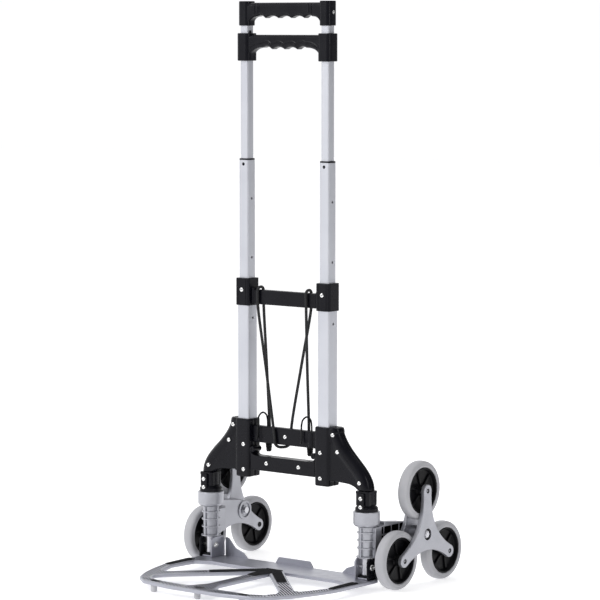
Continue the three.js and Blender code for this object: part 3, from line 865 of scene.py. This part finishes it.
def leg_points(count):
    """Points of the curved leg: out from the post, then down over the leg shaft."""
    a, b, c, d = [Vector(k) for k in LEG_KNOTS]
    points = []
    for i in range(count + 1):
        t = i / count
        s = 1 - t
        points.append(s**3 * a + 3 * s * s * t * b + 3 * s * t * t * c + t**3 * d)
    return points


def shoulder_half():
    """The front half of the right shoulder, before its corners are melted together."""
    low, high = span("shoulder_front_right")
    body = prism(rectangle(79, 113, -18, 18, 5), low.z + 0.5, SHOULDER_HIGH, "z")
    soften(body, 1.5, 2, 60)
    route = [*leg_points(28), Vector((LEG_X, 0, 172))]
    radii = [RIDGE_R] * len(route)
    radii[0] = RIDGE_R - 5
    radii[1] = RIDGE_R - 0.8
    ridge = sweep(route, radii, 40)
    lip = soften(sweep(leg_points(28)[1:4], RIDGE_R + 1.3, 40), 0.7, 2, 60)
    web = [(96, 297)]
    web += [(p.x, min(p.z, 297)) for p in leg_points(20)]
    web += [(LEG_X - 13, 187)]
    web += curve((LEG_X - 13, 187), (LEG_X - 18, 193), (LEG_X - 34, 196), 8)
    web += [(96, 200)]
    solid = join(body, ridge, prism(web, -13, 13, "y"), lip)
    post = square(POST_X, 0, POST_HALF, CORNER, 6)
    solid = cut(solid, prism(post, POST_LOW.z / MM - FIT, high.z + 20, "z"))
    channel = [*leg_points(20)[3:], Vector((LEG_X, 0, 160))]
    solid = cut(solid, sweep(channel, LEG_TUBE_R + 0.6, 24))
    keep = block(60, 230, -60, -FIT / 2, SHOULDER_LOW, SHOULDER_HIGH)
    return boolean(solid, keep, "INTERSECT")


def make_shoulders():
    front = moulding(shoulder_half(), 1.25, 5)
    for side, sign in SIDES:
        for half in ("front", "rear"):
            bm = mirrored(front.copy(), sign)
            if half == "rear":
                bmesh.ops.scale(bm, vec=(1, -1, 1), verts=bm.verts)
                bmesh.ops.reverse_faces(bm, faces=bm.faces)
            stand_in(f"shoulder_{half}_{side}", bm, PLASTIC, "black_plastic", sharp=70, weighted=False)
    front.free()
    for side, sign in SIDES:
        places = [(sign * x, -15.2, z) for x, z in RIDGE_RIVETS]
        places += [(sign * 93, -18, z) for z in POST_RIVETS_Z]
        rivets_both_ways("shoulder", f"_{side}", places)
        foot = span(f"leg_tube_{side}")[0].z
        route = [*leg_points(24)[5:], Vector((LEG_X, 0, foot))]
        tube = mirrored(sweep(route, LEG_TUBE_R, 32), sign)
        tube = cut(tube, rod(SHAFT_BORE, foot - 4, 178, "z", (sign * LEG_X, 0, 0)))
        stand_in(f"leg_tube_{side}", tube, STEEL_BLACK, "black_steel")


def make_bars():
    low, high = span("upper_bar")
    bar = prism(rectangle(low.y, high.y, low.z, high.z, 3, 6), low.x, high.x, "x")
    for x in (-62, 62):
        rib = soften(rod(8.2, low.z + 3, high.z - 3, "z", (x, low.y + 5, 0)), 1.4, 3, 60)
        bar = join(bar, rib)
    stand_in("upper_bar", bar, PLASTIC, "black_plastic")
    rivets("upper_bar_rivet", "frame", [(0, low.y, UPPER_BAR_RIVET_Z)])
    low, high = span("lower_bar")
    top = high.z - 12
    outline = [(low.x, low.z), (high.x, low.z), (high.x, high.z)]
    outline += curve((high.x, high.z), (high.x - 2, top), (high.x - 16, top), 8)
    outline += [(low.x + 16, top)]
    outline += curve((low.x + 16, top), (low.x + 2, top), (low.x, high.z), 8)
    bar = soften(prism(outline, low.y, high.y, "y"), 1.6, 3, 50)
    bar = cut(bar, block(low.x + 20, high.x - 20, low.y + 4, high.y + 5, low.z + 4, top - 4))
    stiffeners = [block(x - 1, x + 1, low.y + 3, high.y - 1, low.z + 3, top - 3) for x in (-34, 0, 34)]
    bar = join(bar, *stiffeners)
    stand_in("lower_bar", bar, PLASTIC, "black_plastic")
    rivets("lower_bar_rivets", "frame", [(x, low.y, LOWER_BAR_RIVET_Z) for x in (-39, 39)])
    bosses = []
    for x in (-74, 74):
        rim = [(2.6, -15.5), (4.8, -15.5), (5.6, -14.7), (5.6, 7), (2.6, 7)]
        plug = [(0, -14.8), (2, -14.8), (2.6, -14), (2.6, 6), (0, 6)]
        bosses += [turned(profile, "y", (x, 0, 241), 36) for profile in (rim, plug)]
    show("shoulder_bosses", together(*bosses), PLASTIC, "frame", "black_plastic")


# ---- legs

SHAFT_TOP = 176
SOCKET_SCREWS_Z = (173, 157)
HINGE_Y, HINGE_Z = -4.5, 43.5
HINGE_AT = (0, HINGE_Y, HINGE_Z)


def leg_socket():
    low, high = span("leg_socket_right")
    base = low.z
    skirt = [(21.5, base), (21.5, base + 6), (17.5, base + 11), (16, base + 13), (16, high.z)]
    skirt = fillet(skirt, 1.5, closed=False)
    sleeve = turned([(0, base), *skirt, (0, high.z)], "z", (LEG_X, 0, 0))
    square = rectangle(LEG_X - 15, LEG_X + 15, -16.4, 14.5, 5, 8)
    jacket = soften(prism(square, base + 11, high.z, "z"), 1.0, 3, 60)
    lip = rectangle(LEG_X - 15.5, LEG_X + 15.5, -16.9, 15, 5.5, 8)
    collar = soften(prism(lip, high.z - 5, high.z, "z"), 0.8, 3, 60)
    boss = soften(block(LEG_X - 6.5, LEG_X + 8, -21, -10, base + 2, high.z - 2.7), 1.6, 3, 60)
    solid = join(sleeve, jacket, collar, boss)
    bore = rod(LEG_TUBE_R + 0.6, base + 1.7, high.z + 5, "z", (LEG_X, 0, 0), 48)
    shaft = rod(7.4, base - 5, high.z, "z", (LEG_X, 0, 0), 48)
    return cut(solid, bore, shaft)


def make_legs():
    socket = leg_socket()
    for side, sign in SIDES:
        stand_in(f"leg_socket_{side}", mirrored(socket.copy(), sign), PLASTIC, "black_plastic")
        places = [(sign * (LEG_X + 1), -21, z) for z in SOCKET_SCREWS_Z]
        rivets(f"socket_screws_{side}", "frame", places)
        at = (sign * LEG_X, 0, 0)
        low, high = span(f"leg_collar_{side}")
        rim = [(7.4, low.z), (21, low.z), (22.2, low.z + 0.8), (23.4, low.z + 1.4), (25, low.z + 4.5)]
        rim += [(25, high.z - 0.8), (24.3, high.z), (7.4, high.z)]
        collar = turned(fillet(rim, 0.9, 3), "z", at, 96)
        stand_in(f"leg_collar_{side}", collar, GREY, "grey_plastic", sharp=45)
        low, high = span(f"leg_shaft_{side}")
        profile = [(0, low.z), (8.7, low.z), (9.5, low.z + 0.8), (9.5, 59), (7, 60)]
        profile += [(7, SHAFT_TOP - 0.5), (6.5, SHAFT_TOP), (0, SHAFT_TOP)]
        shaft = cut(turned(profile, "z", at), rod(3.4, -20, 20, "x", (at[0], HINGE_Y, HINGE_Z)))
        stand_in(f"leg_shaft_{side}", shaft, SATIN_STEEL, "bright_steel")
    socket.free()


# ---- elastic cord and hooks

CORD_ROUTE = [
    (40.5, 15.6, 262.8), (41.5, 13.5, 306), (48, 1, 400), (54.5, -10.8, 514),
    (54.4, -11, 532), (54, -10.6, 545), (53.2, -6.5, 549.8), (52, 0, 551),
    (50.8, 6.5, 549.8), (50, 10.6, 545), (49.6, 11, 532), (49, 10.8, 514),
    (27, 10.6, 410), (3, 10.6, 294), (0, 10.8, 268), (-2, 10.4, 255),
    (-6, 6.2, 250), (-11, 0, 249), (-16, -6.2, 250), (-20, -10.4, 255),
    (-22, -10.8, 268), (-26, -10.6, 294), (-43, -10.8, 400), (-62, -10.8, 514),
    (-62.6, -11, 532), (-62.8, -10.6, 545), (-63.4, -6.5, 549.8), (-64.4, 0, 551),
    (-65.4, 6.5, 549.8), (-66, 10.6, 545), (-66.2, 11, 532), (-66, 11.2, 514),
    (-60, 12.9, 400), (-54, 15.6, 262.8),
]
CORD_R = 2.75
WIRE_R = 1.7


def hook_grip(x, y, low, high):
    """The moulded end of the cord: a tapered sleeve with raised rings."""
    profile = [(0, low), (3.6, low), (4.6, low + 1)]
    ribs = 7
    for i in range(ribs):
        z = low + 2 + (high - low - 6) * i / ribs
        radius = 5.2 + 2.2 * i / ribs
        crest = radius + 0.3
        profile += [(radius - 0.5, z), (crest, z + 0.9), (crest, z + 1.7), (radius - 0.5, z + 2.4)]
    profile += [(7.6, high - 3), (7.6, high - 1), (5.8, high), (0, high)]
    return turned(profile, "z", (x, y, 0), 32)


def hook(x, wire_back, wire_front):
    """A moulded grip and the wire that goes over the upper bar and down in front of it."""
    y, front = 15.6, -11.5
    low, high = 235, 262
    middle = (wire_back + wire_front) / 2
    wire = [
        (wire_back, y, high - 6), (wire_back, y, 296), (wire_back, y - 4, 306),
        (middle, (y + front) / 2, 311), (wire_front, front + 4, 306), (wire_front, front, 296),
        (wire_front, front, 270), (wire_front, front - 3, 262),
    ]
    return together(hook_grip(x, y, low, high), sweep(smooth_path(wire, 8), WIRE_R, 14))


def make_cord():
    route = smooth_path(CORD_ROUTE, 10)
    weave = {"around": 8, "pitch": 5.2}
    stand_in("bungee_cord", sweep(route, CORD_R, 20, weave), CORD, "bungee_cord", weighted=False, sharp=80)
    stand_in("cord_hook_right", hook(43, 46.5, 44), HOOK, "cord_hook", weighted=False)
    stand_in("cord_hook_left", hook(-57, -60.5, -62), HOOK, "cord_hook", weighted=False)


# ---- toe plate

PLATE_LOW, PLATE_HIGH = 13, 20
OUTER_HALF = [
    (194, 24), (209, 12), (209, -40), (207, -116), (196, -160), (179, -206), (158, -244),
    (130, -266), (60, -278),
]
INNER_HALF = [(150, -44), (182, -56), (188, -116), (176, -150), (156, -198), (134, -236), (110, -248)]
SIDE_SPOKE = [(-8, -20), (14, -30), (156, -172), (180, -170), (150, -222), (134, -190), (0, -57)]
MIDDLE_SPOKE = [(-14, -30), (14, -30), (13, -215), (34, -256), (-34, -256), (-13, -215)]


def mirror_outline(outline):
    return [(-x, y) for x, y in outline]


def both_halves(half):
    return [*half, *reversed(mirror_outline(half))]


def inside(point, outline):
    x, y = point
    odd = False
    for (x0, y0), (x1, y1) in zip(outline, outline[1:] + outline[:1]):
        if (y0 > y) != (y1 > y) and x < x0 + (x1 - x0) * (y - y0) / (y1 - y0):
            odd = not odd
    return odd


def treads(outline, pitch, slope, z, height=0.7, half_width=0.85, taper=0.4):
    """Fine raised bars that lean across a strip, cut off at the strip's outline."""
    lean = Vector((math.cos(slope), math.sin(slope)))
    across = Vector((-lean.y, lean.x))
    corners = [Vector(p) for p in outline]
    near = min(across.dot(c) for c in corners)
    far = max(across.dot(c) for c in corners)
    start = min(lean.dot(c) for c in corners)
    end = max(lean.dot(c) for c in corners)
    bars = []
    row = near + pitch / 2
    while row < far:
        run = None
        place = start
        while place <= end + 0.5:
            p = across * row + lean * place
            held = inside(p, outline)
            if held and run is None:
                run = place
            if run is not None and (not held or place + 0.5 > end + 0.5):
                if place - run > 2.5:
                    bars.append((across * row + lean * run, across * row + lean * place))
                run = None
            place += 0.5
        row += pitch
    bm = bmesh.new()
    for a, b in bars:
        along = (b - a).normalized()
        side = Vector((-along.y, along.x)) * half_width
        base = [a - side, b - side, b + side, a + side]
        inset = along * 0.7
        crest = side * taper
        top = [a - crest + inset, b - crest - inset, b + crest - inset, a + crest + inset]
        low_ring = [bm.verts.new((p.x, p.y, z - 0.2)) for p in base]
        high_ring = [bm.verts.new((p.x, p.y, z + height)) for p in top]
        bm.faces.new(list(reversed(low_ring)))
        bm.faces.new(high_ring)
        for i in range(4):
            j = (i + 1) % 4
            bm.faces.new((low_ring[i], low_ring[j], high_ring[j], high_ring[i]))
    return bm


def rear_flange(points):
    return prism(fillet(points, 3, 4), 21, 24, "y")


def toe_plate():
    plate = prism(fillet(both_halves(OUTER_HALF), 14, 6), PLATE_LOW, PLATE_HIGH, "z")
    window = prism(fillet(both_halves(INNER_HALF), 9, 6), PLATE_LOW - 5, PLATE_HIGH + 5, "z")
    plate = cut(plate, window)
    for sign in (1, -1):
        spoke = prism(SIDE_SPOKE, PLATE_LOW, PLATE_HIGH, "z")
        plate = join(plate, mirrored(spoke, sign))
    plate = join(plate, prism(MIDDLE_SPOKE, PLATE_LOW, PLATE_HIGH, "z"))
    soften(plate, 1.5, 3, 50)
    plate = join(plate, soften(rear_flange([(-48, 17), (48, 17), (38, 32), (-38, 32)]), 0.8, 2, 60))
    side = [(112, 17), (171, 17), (171, 57), (162, 54), (146, 37), (126, 30)]
    for sign in (1, -1):
        flange = soften(rear_flange(side), 0.8, 2, 60)
        plate = join(plate, mirrored(flange, sign))
    return plate


RAIL_PAD = [(190, -46), (206, -46), (204, -120), (192, -120)]
SPOKE_PAD = [(14, -36), (2, -52), (82, -132), (95, -118)]
MIDDLE_PAD = [(-20, -36), (20, -36), (10, -108), (-10, -108)]
PAD_LOW, PAD_HIGH = 20.3, 21.5
SIDE_TREAD = [
    (191, -124), (203, -124), (193, -160), (177, -204), (156, -241), (139, -236), (160, -198), (180, -151),
]
SPOKE_TREAD = [(85, -135), (98, -121), (154, -175), (172, -172), (150, -216), (135, -187)]
FRONT_TREAD = [(136, -240), (151, -246), (127, -262), (58, -274), (28, -274), (34, -259), (110, -251)]
MIDDLE_TREAD = both_halves([(11, -112), (11, -215), (30, -254), (28, -274)])
TREAD_SLOPE = math.radians(142)
TREAD_PITCH = 5.2


def ribbed_pad(outline, slope):
    pad = soften(prism(fillet(outline, 2.5, 4), PAD_LOW, PAD_HIGH, "z"), 0.4, 2, 60)
    centre = Vector((sum(x for x, _ in outline), sum(y for _, y in outline))) / len(outline)
    inner = [tuple(centre + (Vector(p) - centre) * 0.9) for p in outline]
    return together(pad, treads(inner, 3.2, slope, PAD_HIGH - 0.1))


def make_plate():
    stand_in("toe_plate", toe_plate(), PLATE, "plate_silver", sharp=40)
    strips = [MIDDLE_TREAD]
    for outline in (SIDE_TREAD, SPOKE_TREAD, FRONT_TREAD):
        strips += [outline, mirror_outline(outline)]
    bars = [
        treads(strip, TREAD_PITCH, TREAD_SLOPE, PLATE_HIGH, 0.18, 1.2, 0.9) for strip in strips
    ]
    # The tread bars take the near-black paint: painted shade that draws the hatch on the silver plate.
    show("plate_treads", together(*bars), TREAD_PAINTED_SHADE, "toe_plate", "plate_silver", weighted=False, sharp=20)
    pad = ribbed_pad(RAIL_PAD, 0.2)
    for side, sign in SIDES:
        stand_in(f"rail_pad_{side}", mirrored(pad.copy(), sign), PAD, "black_rubber", sharp=25)
    pad.free()
    pads = [ribbed_pad(MIDDLE_PAD, 0.0), ribbed_pad(SPOKE_PAD, 0.5)]
    pads.append(ribbed_pad(mirror_outline(SPOKE_PAD), -0.5))
    stand_in("spoke_pad", together(*pads), PAD, "black_rubber", sharp=25)
    for name in ("right", "middle", "left"):
        x, y, _ = middle_of(f"foot_{name}")
        top = span(f"foot_{name}")[1].z
        profile = [(0, 0), (5.2, 0), (5.8, 0.8), (6, 3), (6, top - 1), (5.4, top), (0, top)]
        stand_in(f"foot_{name}", turned(profile, "z", (x, y, 0), 40), FOOT, "grey_rubber")
    inserts = []
    for x in (-106, 0, 106):
        strip = rectangle(x - 10, x + 10, -262, -253, 3, 5)
        inserts.append(soften(prism(strip, PLATE_HIGH - 0.3, PLATE_HIGH + 0.9, "z"), 0.4, 2, 60))
    show("front_inserts", together(*inserts), PAD, "toe_plate", "black_rubber")


# ---- hinge brackets

CHEEK_FRONT, CHEEK_BACK, CHEEK_TOP = -17, 24, 59.5
CHEEK_IN, CHEEK_OUT = 12.7, 16


def hinge_bracket():
    """Two upright cheeks on a foot; the outer cheek takes the second paint, which is black as painted
    shade on a bracket of one material.
    """
    base = span("hinge_bracket_right")[0].z
    cheek = [
        (CHEEK_FRONT, base), (CHEEK_BACK, base), (CHEEK_BACK - 2, CHEEK_TOP - 6),
        (CHEEK_BACK - 7, CHEEK_TOP), (CHEEK_FRONT + 6, CHEEK_TOP), (CHEEK_FRONT, CHEEK_TOP - 6),
    ]
    cheek = fillet(cheek, 3, 4)
    plates = [prism(cheek, LEG_X + s * CHEEK_IN, LEG_X + s * CHEEK_OUT, "x") for s in (1, -1)]
    floor = block(LEG_X - 14, LEG_X + 14, -12, 15, base, base + 3)
    solid = join(*plates, floor)
    solid = cut(solid, rod(3.3, LEG_X - 25, LEG_X + 25, "x", HINGE_AT))
    soften(solid, 0.8, 3, 50)
    # The outer cheek is painted black: painted shade on a bracket of one material.
    for face in solid.faces:
        if face.calc_center_median().x > LEG_X + 11:
            face.material_index = 1
    return solid


def star_screw(at, outward):
    """A pan head with a cross recess, on an X axis."""
    head = turned([(0, -0.5), (6, -0.5), (6, 0.6), (5.2, 1.7), (3.4, 2.2), (0, 2.3)], "x", sides=40)
    for slot in (block(1.0, 4, -3.4, 3.4, -0.7, 0.7), block(1.0, 4, -0.7, 0.7, -3.4, 3.4)):
        head = cut(head, slot)
    bmesh.ops.scale(head, vec=(outward, 1, 1), verts=head.verts)
    if outward < 0:
        bmesh.ops.reverse_faces(head, faces=head.faces)
    bmesh.ops.translate(head, verts=head.verts, vec=at)
    return head


def make_brackets():
    bracket = hinge_bracket()
    for side, sign in SIDES:
        # The second paint (black) on the outer cheek is painted shade.
        stand_in(f"hinge_bracket_{side}", mirrored(bracket.copy(), sign), (PLATE, PLASTIC), "plate_silver")
        x = sign * LEG_X
        pin = rod(3, x - 16.3, x + 16.3, "x", HINGE_AT)
        reach = CHEEK_OUT + 0.4
        heads = [star_screw((x + s * reach, HINGE_Y, HINGE_Z), s) for s in (1, -1)]
        stand_in(f"hinge_pin_{side}", together(pin, *heads), BRIGHT, "bright_steel")
        stop = soften(block(x - 12, x + 12, -11, 14, PLATE_HIGH + 3, PLATE_HIGH + 6.8), 0.8, 2, 60)
        show(f"bracket_stop_{side}", stop, PLASTIC, "toe_plate", "black_plastic")
    bracket.free()


# ---- swing arms

_, HUB_Y, HUB_Z = middle_of("cluster_axle_right")
HUB_AT = (0, HUB_Y, HUB_Z)
AXLE_BORE = 6.4
RING_FINS_Z = (79, 93.5, 108)
ARM_IN, ARM_OUT = 192, 210


def knuckle():
    """The barrel that turns on the leg shaft, with ring fins and upright ribs."""
    rings = [(0, 61), (19, 61), (19.4, 61.8), (19.4, 63), (16, 64), (15, 65)]
    for z in RING_FINS_Z:
        rings += [(15, z - 1.9), (17.9, z - 1.1), (17.9, z + 1.1), (15, z + 1.9)]
    rings += [(15, 116.5), (16.2, 117), (16.2, 118.6), (15.6, 119), (0, 119)]
    barrel = turned(rings, "z", (LEG_X, 0, 0), 72)
    ribs = [block(LEG_X - 1.2, LEG_X + 1.2, -18.4, -8, 62, 118)]
    ribs.append(block(LEG_X + 8, LEG_X + 18.4, -1.2, 1.2, 62, 118))
    ribs.append(block(LEG_X - 18.4, LEG_X - 8, -1.2, 1.2, 62, 118))
    return join(barrel, *ribs)


def arm_outline():
    points = [
        (0, 62), (30, 62), (96, 79), (HUB_Y, 84), (HUB_Y, HUB_Z + 18.8), (86, 119), (27.5, 126.5),
        (27.5, 119), (0, 119),
    ]
    return fillet(points, 2, 3)


def swing_arm():
    arm = soften(prism(arm_outline(), ARM_IN, ARM_OUT, "x"), 1.0, 3, 40)
    for y0, y1, z0, z1 in arm_pocket_boxes():
        arm = cut(arm, block(ARM_IN + 4, ARM_OUT + 3, y0, y1, z0, z1))
    neck = soften(block(LEG_X - 11, ARM_IN + 3, 8, 34, 66, 115), 4, 5, 60)
    boss = soften(rod(19, ARM_IN - 2.5, ARM_OUT, "x", HUB_AT, 64), 1.0, 3, 60)
    arm = join(arm, knuckle(), neck, boss)
    groove = turned(rectangle(9.4, 14.5, ARM_IN - 4, ARM_IN), "x", HUB_AT, 48)
    bore = rod(AXLE_BORE, ARM_IN - 9, ARM_OUT + 5, "x", HUB_AT)
    return cut(arm, groove, bore, rod(SHAFT_BORE, 50, 130, "z", (LEG_X, 0, 0), 48))


def arm_pocket_boxes():
    """The blind pockets between the arm's ribs, as (y0, y1, z0, z1)."""
    columns = ((19, 24.5), (27, 47.5), (50.5, 71.5), (74.5, 92))
    pockets = [(y0, y1, z0, z1) for z0, z1 in ((103.5, 117), (84.5, 100.5)) for y0, y1 in columns]
    pockets += [(y0, y1, 69, 81.5) for y0, y1 in columns[:2]]
    return [*pockets, (50.5, 71.5, 75.5, 81.5)]


def make_swing_arms():
    arm = swing_arm()
    # Faces deep inside the arm's pockets take the near-black second paint: painted shade on grey plastic.
    for face in arm.faces:
        centre = face.calc_center_median()
        deep = ARM_IN + 3.5 < centre.x < ARM_OUT - 0.2
        if deep and any(y0 - 0.1 < centre.y < y1 + 0.1 and z0 - 0.1 < centre.z < z1 + 0.1
                        for y0, y1, z0, z1 in arm_pocket_boxes()):
            face.material_index = 1
    for side, sign in SIDES:
        paints = (GREY, POCKET_PAINTED_SHADE)
        stand_in(f"swing_arm_{side}", mirrored(arm.copy(), sign), paints, "grey_plastic", sharp=40)
        low, high = span(f"cluster_axle_{side}")
        inner, outer = (low.x, high.x) if sign > 0 else (high.x, low.x)
        axle = axle_solid(abs(inner), abs(outer))
        stand_in(f"cluster_axle_{side}", mirrored(axle, sign), SATIN_STEEL, "bright_steel")
    arm.free()


def hexagon(across_flats, a, b):
    outline = circle(across_flats / math.sqrt(3), (HUB_Y, HUB_Z), 6)
    return soften(prism(outline, a, b, "x"), 0.6, 2, 40)


def axle_solid(inner, outer):
    shaft = rod(6, inner + 1, outer - 1.4, "x", HUB_AT, 40)
    nut = hexagon(12, inner + 2.2, inner + 7)
    washer = rod(8.8, inner + 5.4, inner + 6.8, "x", HUB_AT, 40)
    head = hexagon(12, outer - 3.2, outer - 0.6)
    flange = rod(7, outer - 3.3, outer - 2.4, "x", HUB_AT, 40)
    stem = rod(3.4, outer - 1, outer, "x", HUB_AT, 32)
    return together(shaft, nut, washer, head, flange, stem)


# ---- wheel clusters

WHEEL_ANGLES = [math.radians(a) for a in (90, 210, 330)]
TYRE_LOW, TYRE_HIGH = span("tyre_right_1")
WHEEL_HALF = half_width("tyre_right_1")
WHEEL_R = (TYRE_HIGH.z - TYRE_LOW.z) / 2
ARM_R = middle_of("tyre_right_1")[2] - HUB_Z
TYRE_BORE = 43.6
SPOKES = 6


def tip(angle):
    return HUB_Y + ARM_R * math.cos(angle), HUB_Z + ARM_R * math.sin(angle)


def star_outline(tip_radius, waist, steps=18):
    points = []
    spread = math.radians(85)
    for angle in WHEEL_ANGLES:
        y, z = tip(angle)
        for k in range(steps + 1):
            a = angle - spread + 2 * spread * k / steps
            points.append((y + tip_radius * math.cos(a), z + tip_radius * math.sin(a)))
        next_angle = angle + 2 * math.pi / 3
        ny, nz = tip(next_angle)
        first = next_angle - spread
        end = (ny + tip_radius * math.cos(first), nz + tip_radius * math.sin(first))
        between = angle + math.pi / 3
        pull = (HUB_Y + waist * math.cos(between), HUB_Z + waist * math.sin(between))
        points += curve(points[-1], pull, end, 22)[:-1]
    return points


def star(low, high):
    plate = soften(prism(star_outline(12, 8), low, high, "x"), 1.3, 3, 50)
    return cut(plate, rod(AXLE_BORE, low - 5, high + 5, "x", HUB_AT, 40))


def make_stars():
    low, high = span("star_outer_right")
    outer = star(low.x, high.x)
    outer = cut(outer, rod(11, high.x - 4, high.x + 5, "x", HUB_AT, 56))
    for angle in WHEEL_ANGLES:
        outer = cut(outer, rod(4.6, low.x - 5, high.x + 5, "x", (0, *tip(angle)), 32))
    near, far = span("star_inner_right")
    inner = star(near.x, near.x + 8)
    core = rectangle(AXLE_BORE, 14, near.x, low.x - FIT)
    inner = join(inner, turned(core, "x", HUB_AT, 48))
    for angle in WHEEL_ANGLES:
        inner = join(inner, rod(4.1, near.x + 4, far.x, "x", (0, *tip(angle)), 32))
    for side, sign in SIDES:
        stand_in(f"star_outer_{side}", mirrored(outer.copy(), sign), GREY, "grey_plastic", sharp=40)
        stand_in(f"star_inner_{side}", mirrored(inner.copy(), sign), GREY, "grey_plastic", sharp=40)
        bolts, bushes = [], []
        face, end, back = high.x, far.x - 0.4, near.x
        bush = [(2.4, face - 3), (4.5, face - 3), (4.5, face - 0.5), (3.9, face), (2.4, face)]
        stem = [(0, face - 3), (2.3, face - 3), (2.3, end - 1), (1.6, end), (0, end)]
        cap = [(0, back - 1.2), (4.6, back - 1.2), (5.2, back - 0.6), (5.2, back + 2), (0, back + 2)]
        for angle in WHEEL_ANGLES:
            at = (0, *tip(angle))
            bushes += [turned(bush, "x", at, 32), turned(cap, "x", at, 32)]
            bolts.append(turned(stem, "x", at, 28))
        ring = rectangle(7.4, 10.8, face - 4, face - 2.8)
        bushes.append(turned(ring, "x", HUB_AT, 48))
        body = f"cluster_{side}"
        show(f"wheel_bolts_{side}", mirrored(together(*bolts), sign), BRIGHT, body, "bright_steel",
             weighted=False)
        show(f"bolt_bushes_{side}", mirrored(together(*bushes), sign), HUB, body, "black_hub",
             weighted=False)
    outer.free()
    inner.free()


def tyre(at):
    h, r = WHEEL_HALF, WHEEL_R
    profile = [
        (TYRE_BORE, -h + 1.2), (TYRE_BORE + 0.8, -h + 0.3), (TYRE_BORE + 2.6, -h), (47.5, -h),
        (48.2, -h + 0.5), (50.3, -h + 0.5), (52.6, -h + 1.6), (54.2, -h + 3.6),
        (54.9, -h + 5.6), (r - 0.12, -h * 0.25), (r, 0),
    ]
    profile += [(radius, -height) for radius, height in reversed(profile[:-1])]
    return turned(fillet(profile, 1.2, 3), "x", at, 128)


def hub(at):
    h = WHEEL_HALF
    rim = TYRE_BORE - 0.5
    profile = [
        (4.7, -h + 0.6), (8.6, -h + 0.6), (9.6, -h + 1.4), (11, -4), (13, -3), (36, -3),
        (38.4, -4.2), (40, -h + 1.8), (41, -h + 1), (rim, -h + 1),
    ]
    profile += [(radius, -height) for radius, height in reversed(profile)]
    wheel = turned(fillet(profile, 0.8, 3), "x", at, 96)
    spokes = []
    outline = [(-1.2, 10), (1.2, 10), (3.2, 37), (-3.2, 37)]
    for k in range(SPOKES):
        angle = 2 * math.pi * k / SPOKES + math.radians(15)
        for a, b in ((2, 6), (-6, -2)):
            fan = soften(prism(outline, a, b, "x"), 0.6, 2, 60)
            bmesh.ops.rotate(fan, verts=fan.verts, matrix=Matrix.Rotation(angle, 3, "X"))
            bmesh.ops.translate(fan, verts=fan.verts, vec=at)
            spokes.append(fan)
    return together(wheel, *spokes)


def make_wheels():
    for side, _ in SIDES:
        for i in (1, 2, 3):
            at = middle_of(f"tyre_{side}_{i}")
            stand_in(f"tyre_{side}_{i}", tyre(at), TYRE, "grey_tyre", weighted=False, sharp=60)
            stand_in(f"hub_{side}_{i}", hub(at), HUB, "black_hub", weighted=False)


# ---- the scene

make_camera()
make_cord()
make_floor()
make_light()
make_posts()
make_handles()
make_clamp()
make_shoulders()
make_bars()
make_legs()
make_plate()
make_brackets()
make_swing_arms()
make_stars()
make_wheels()
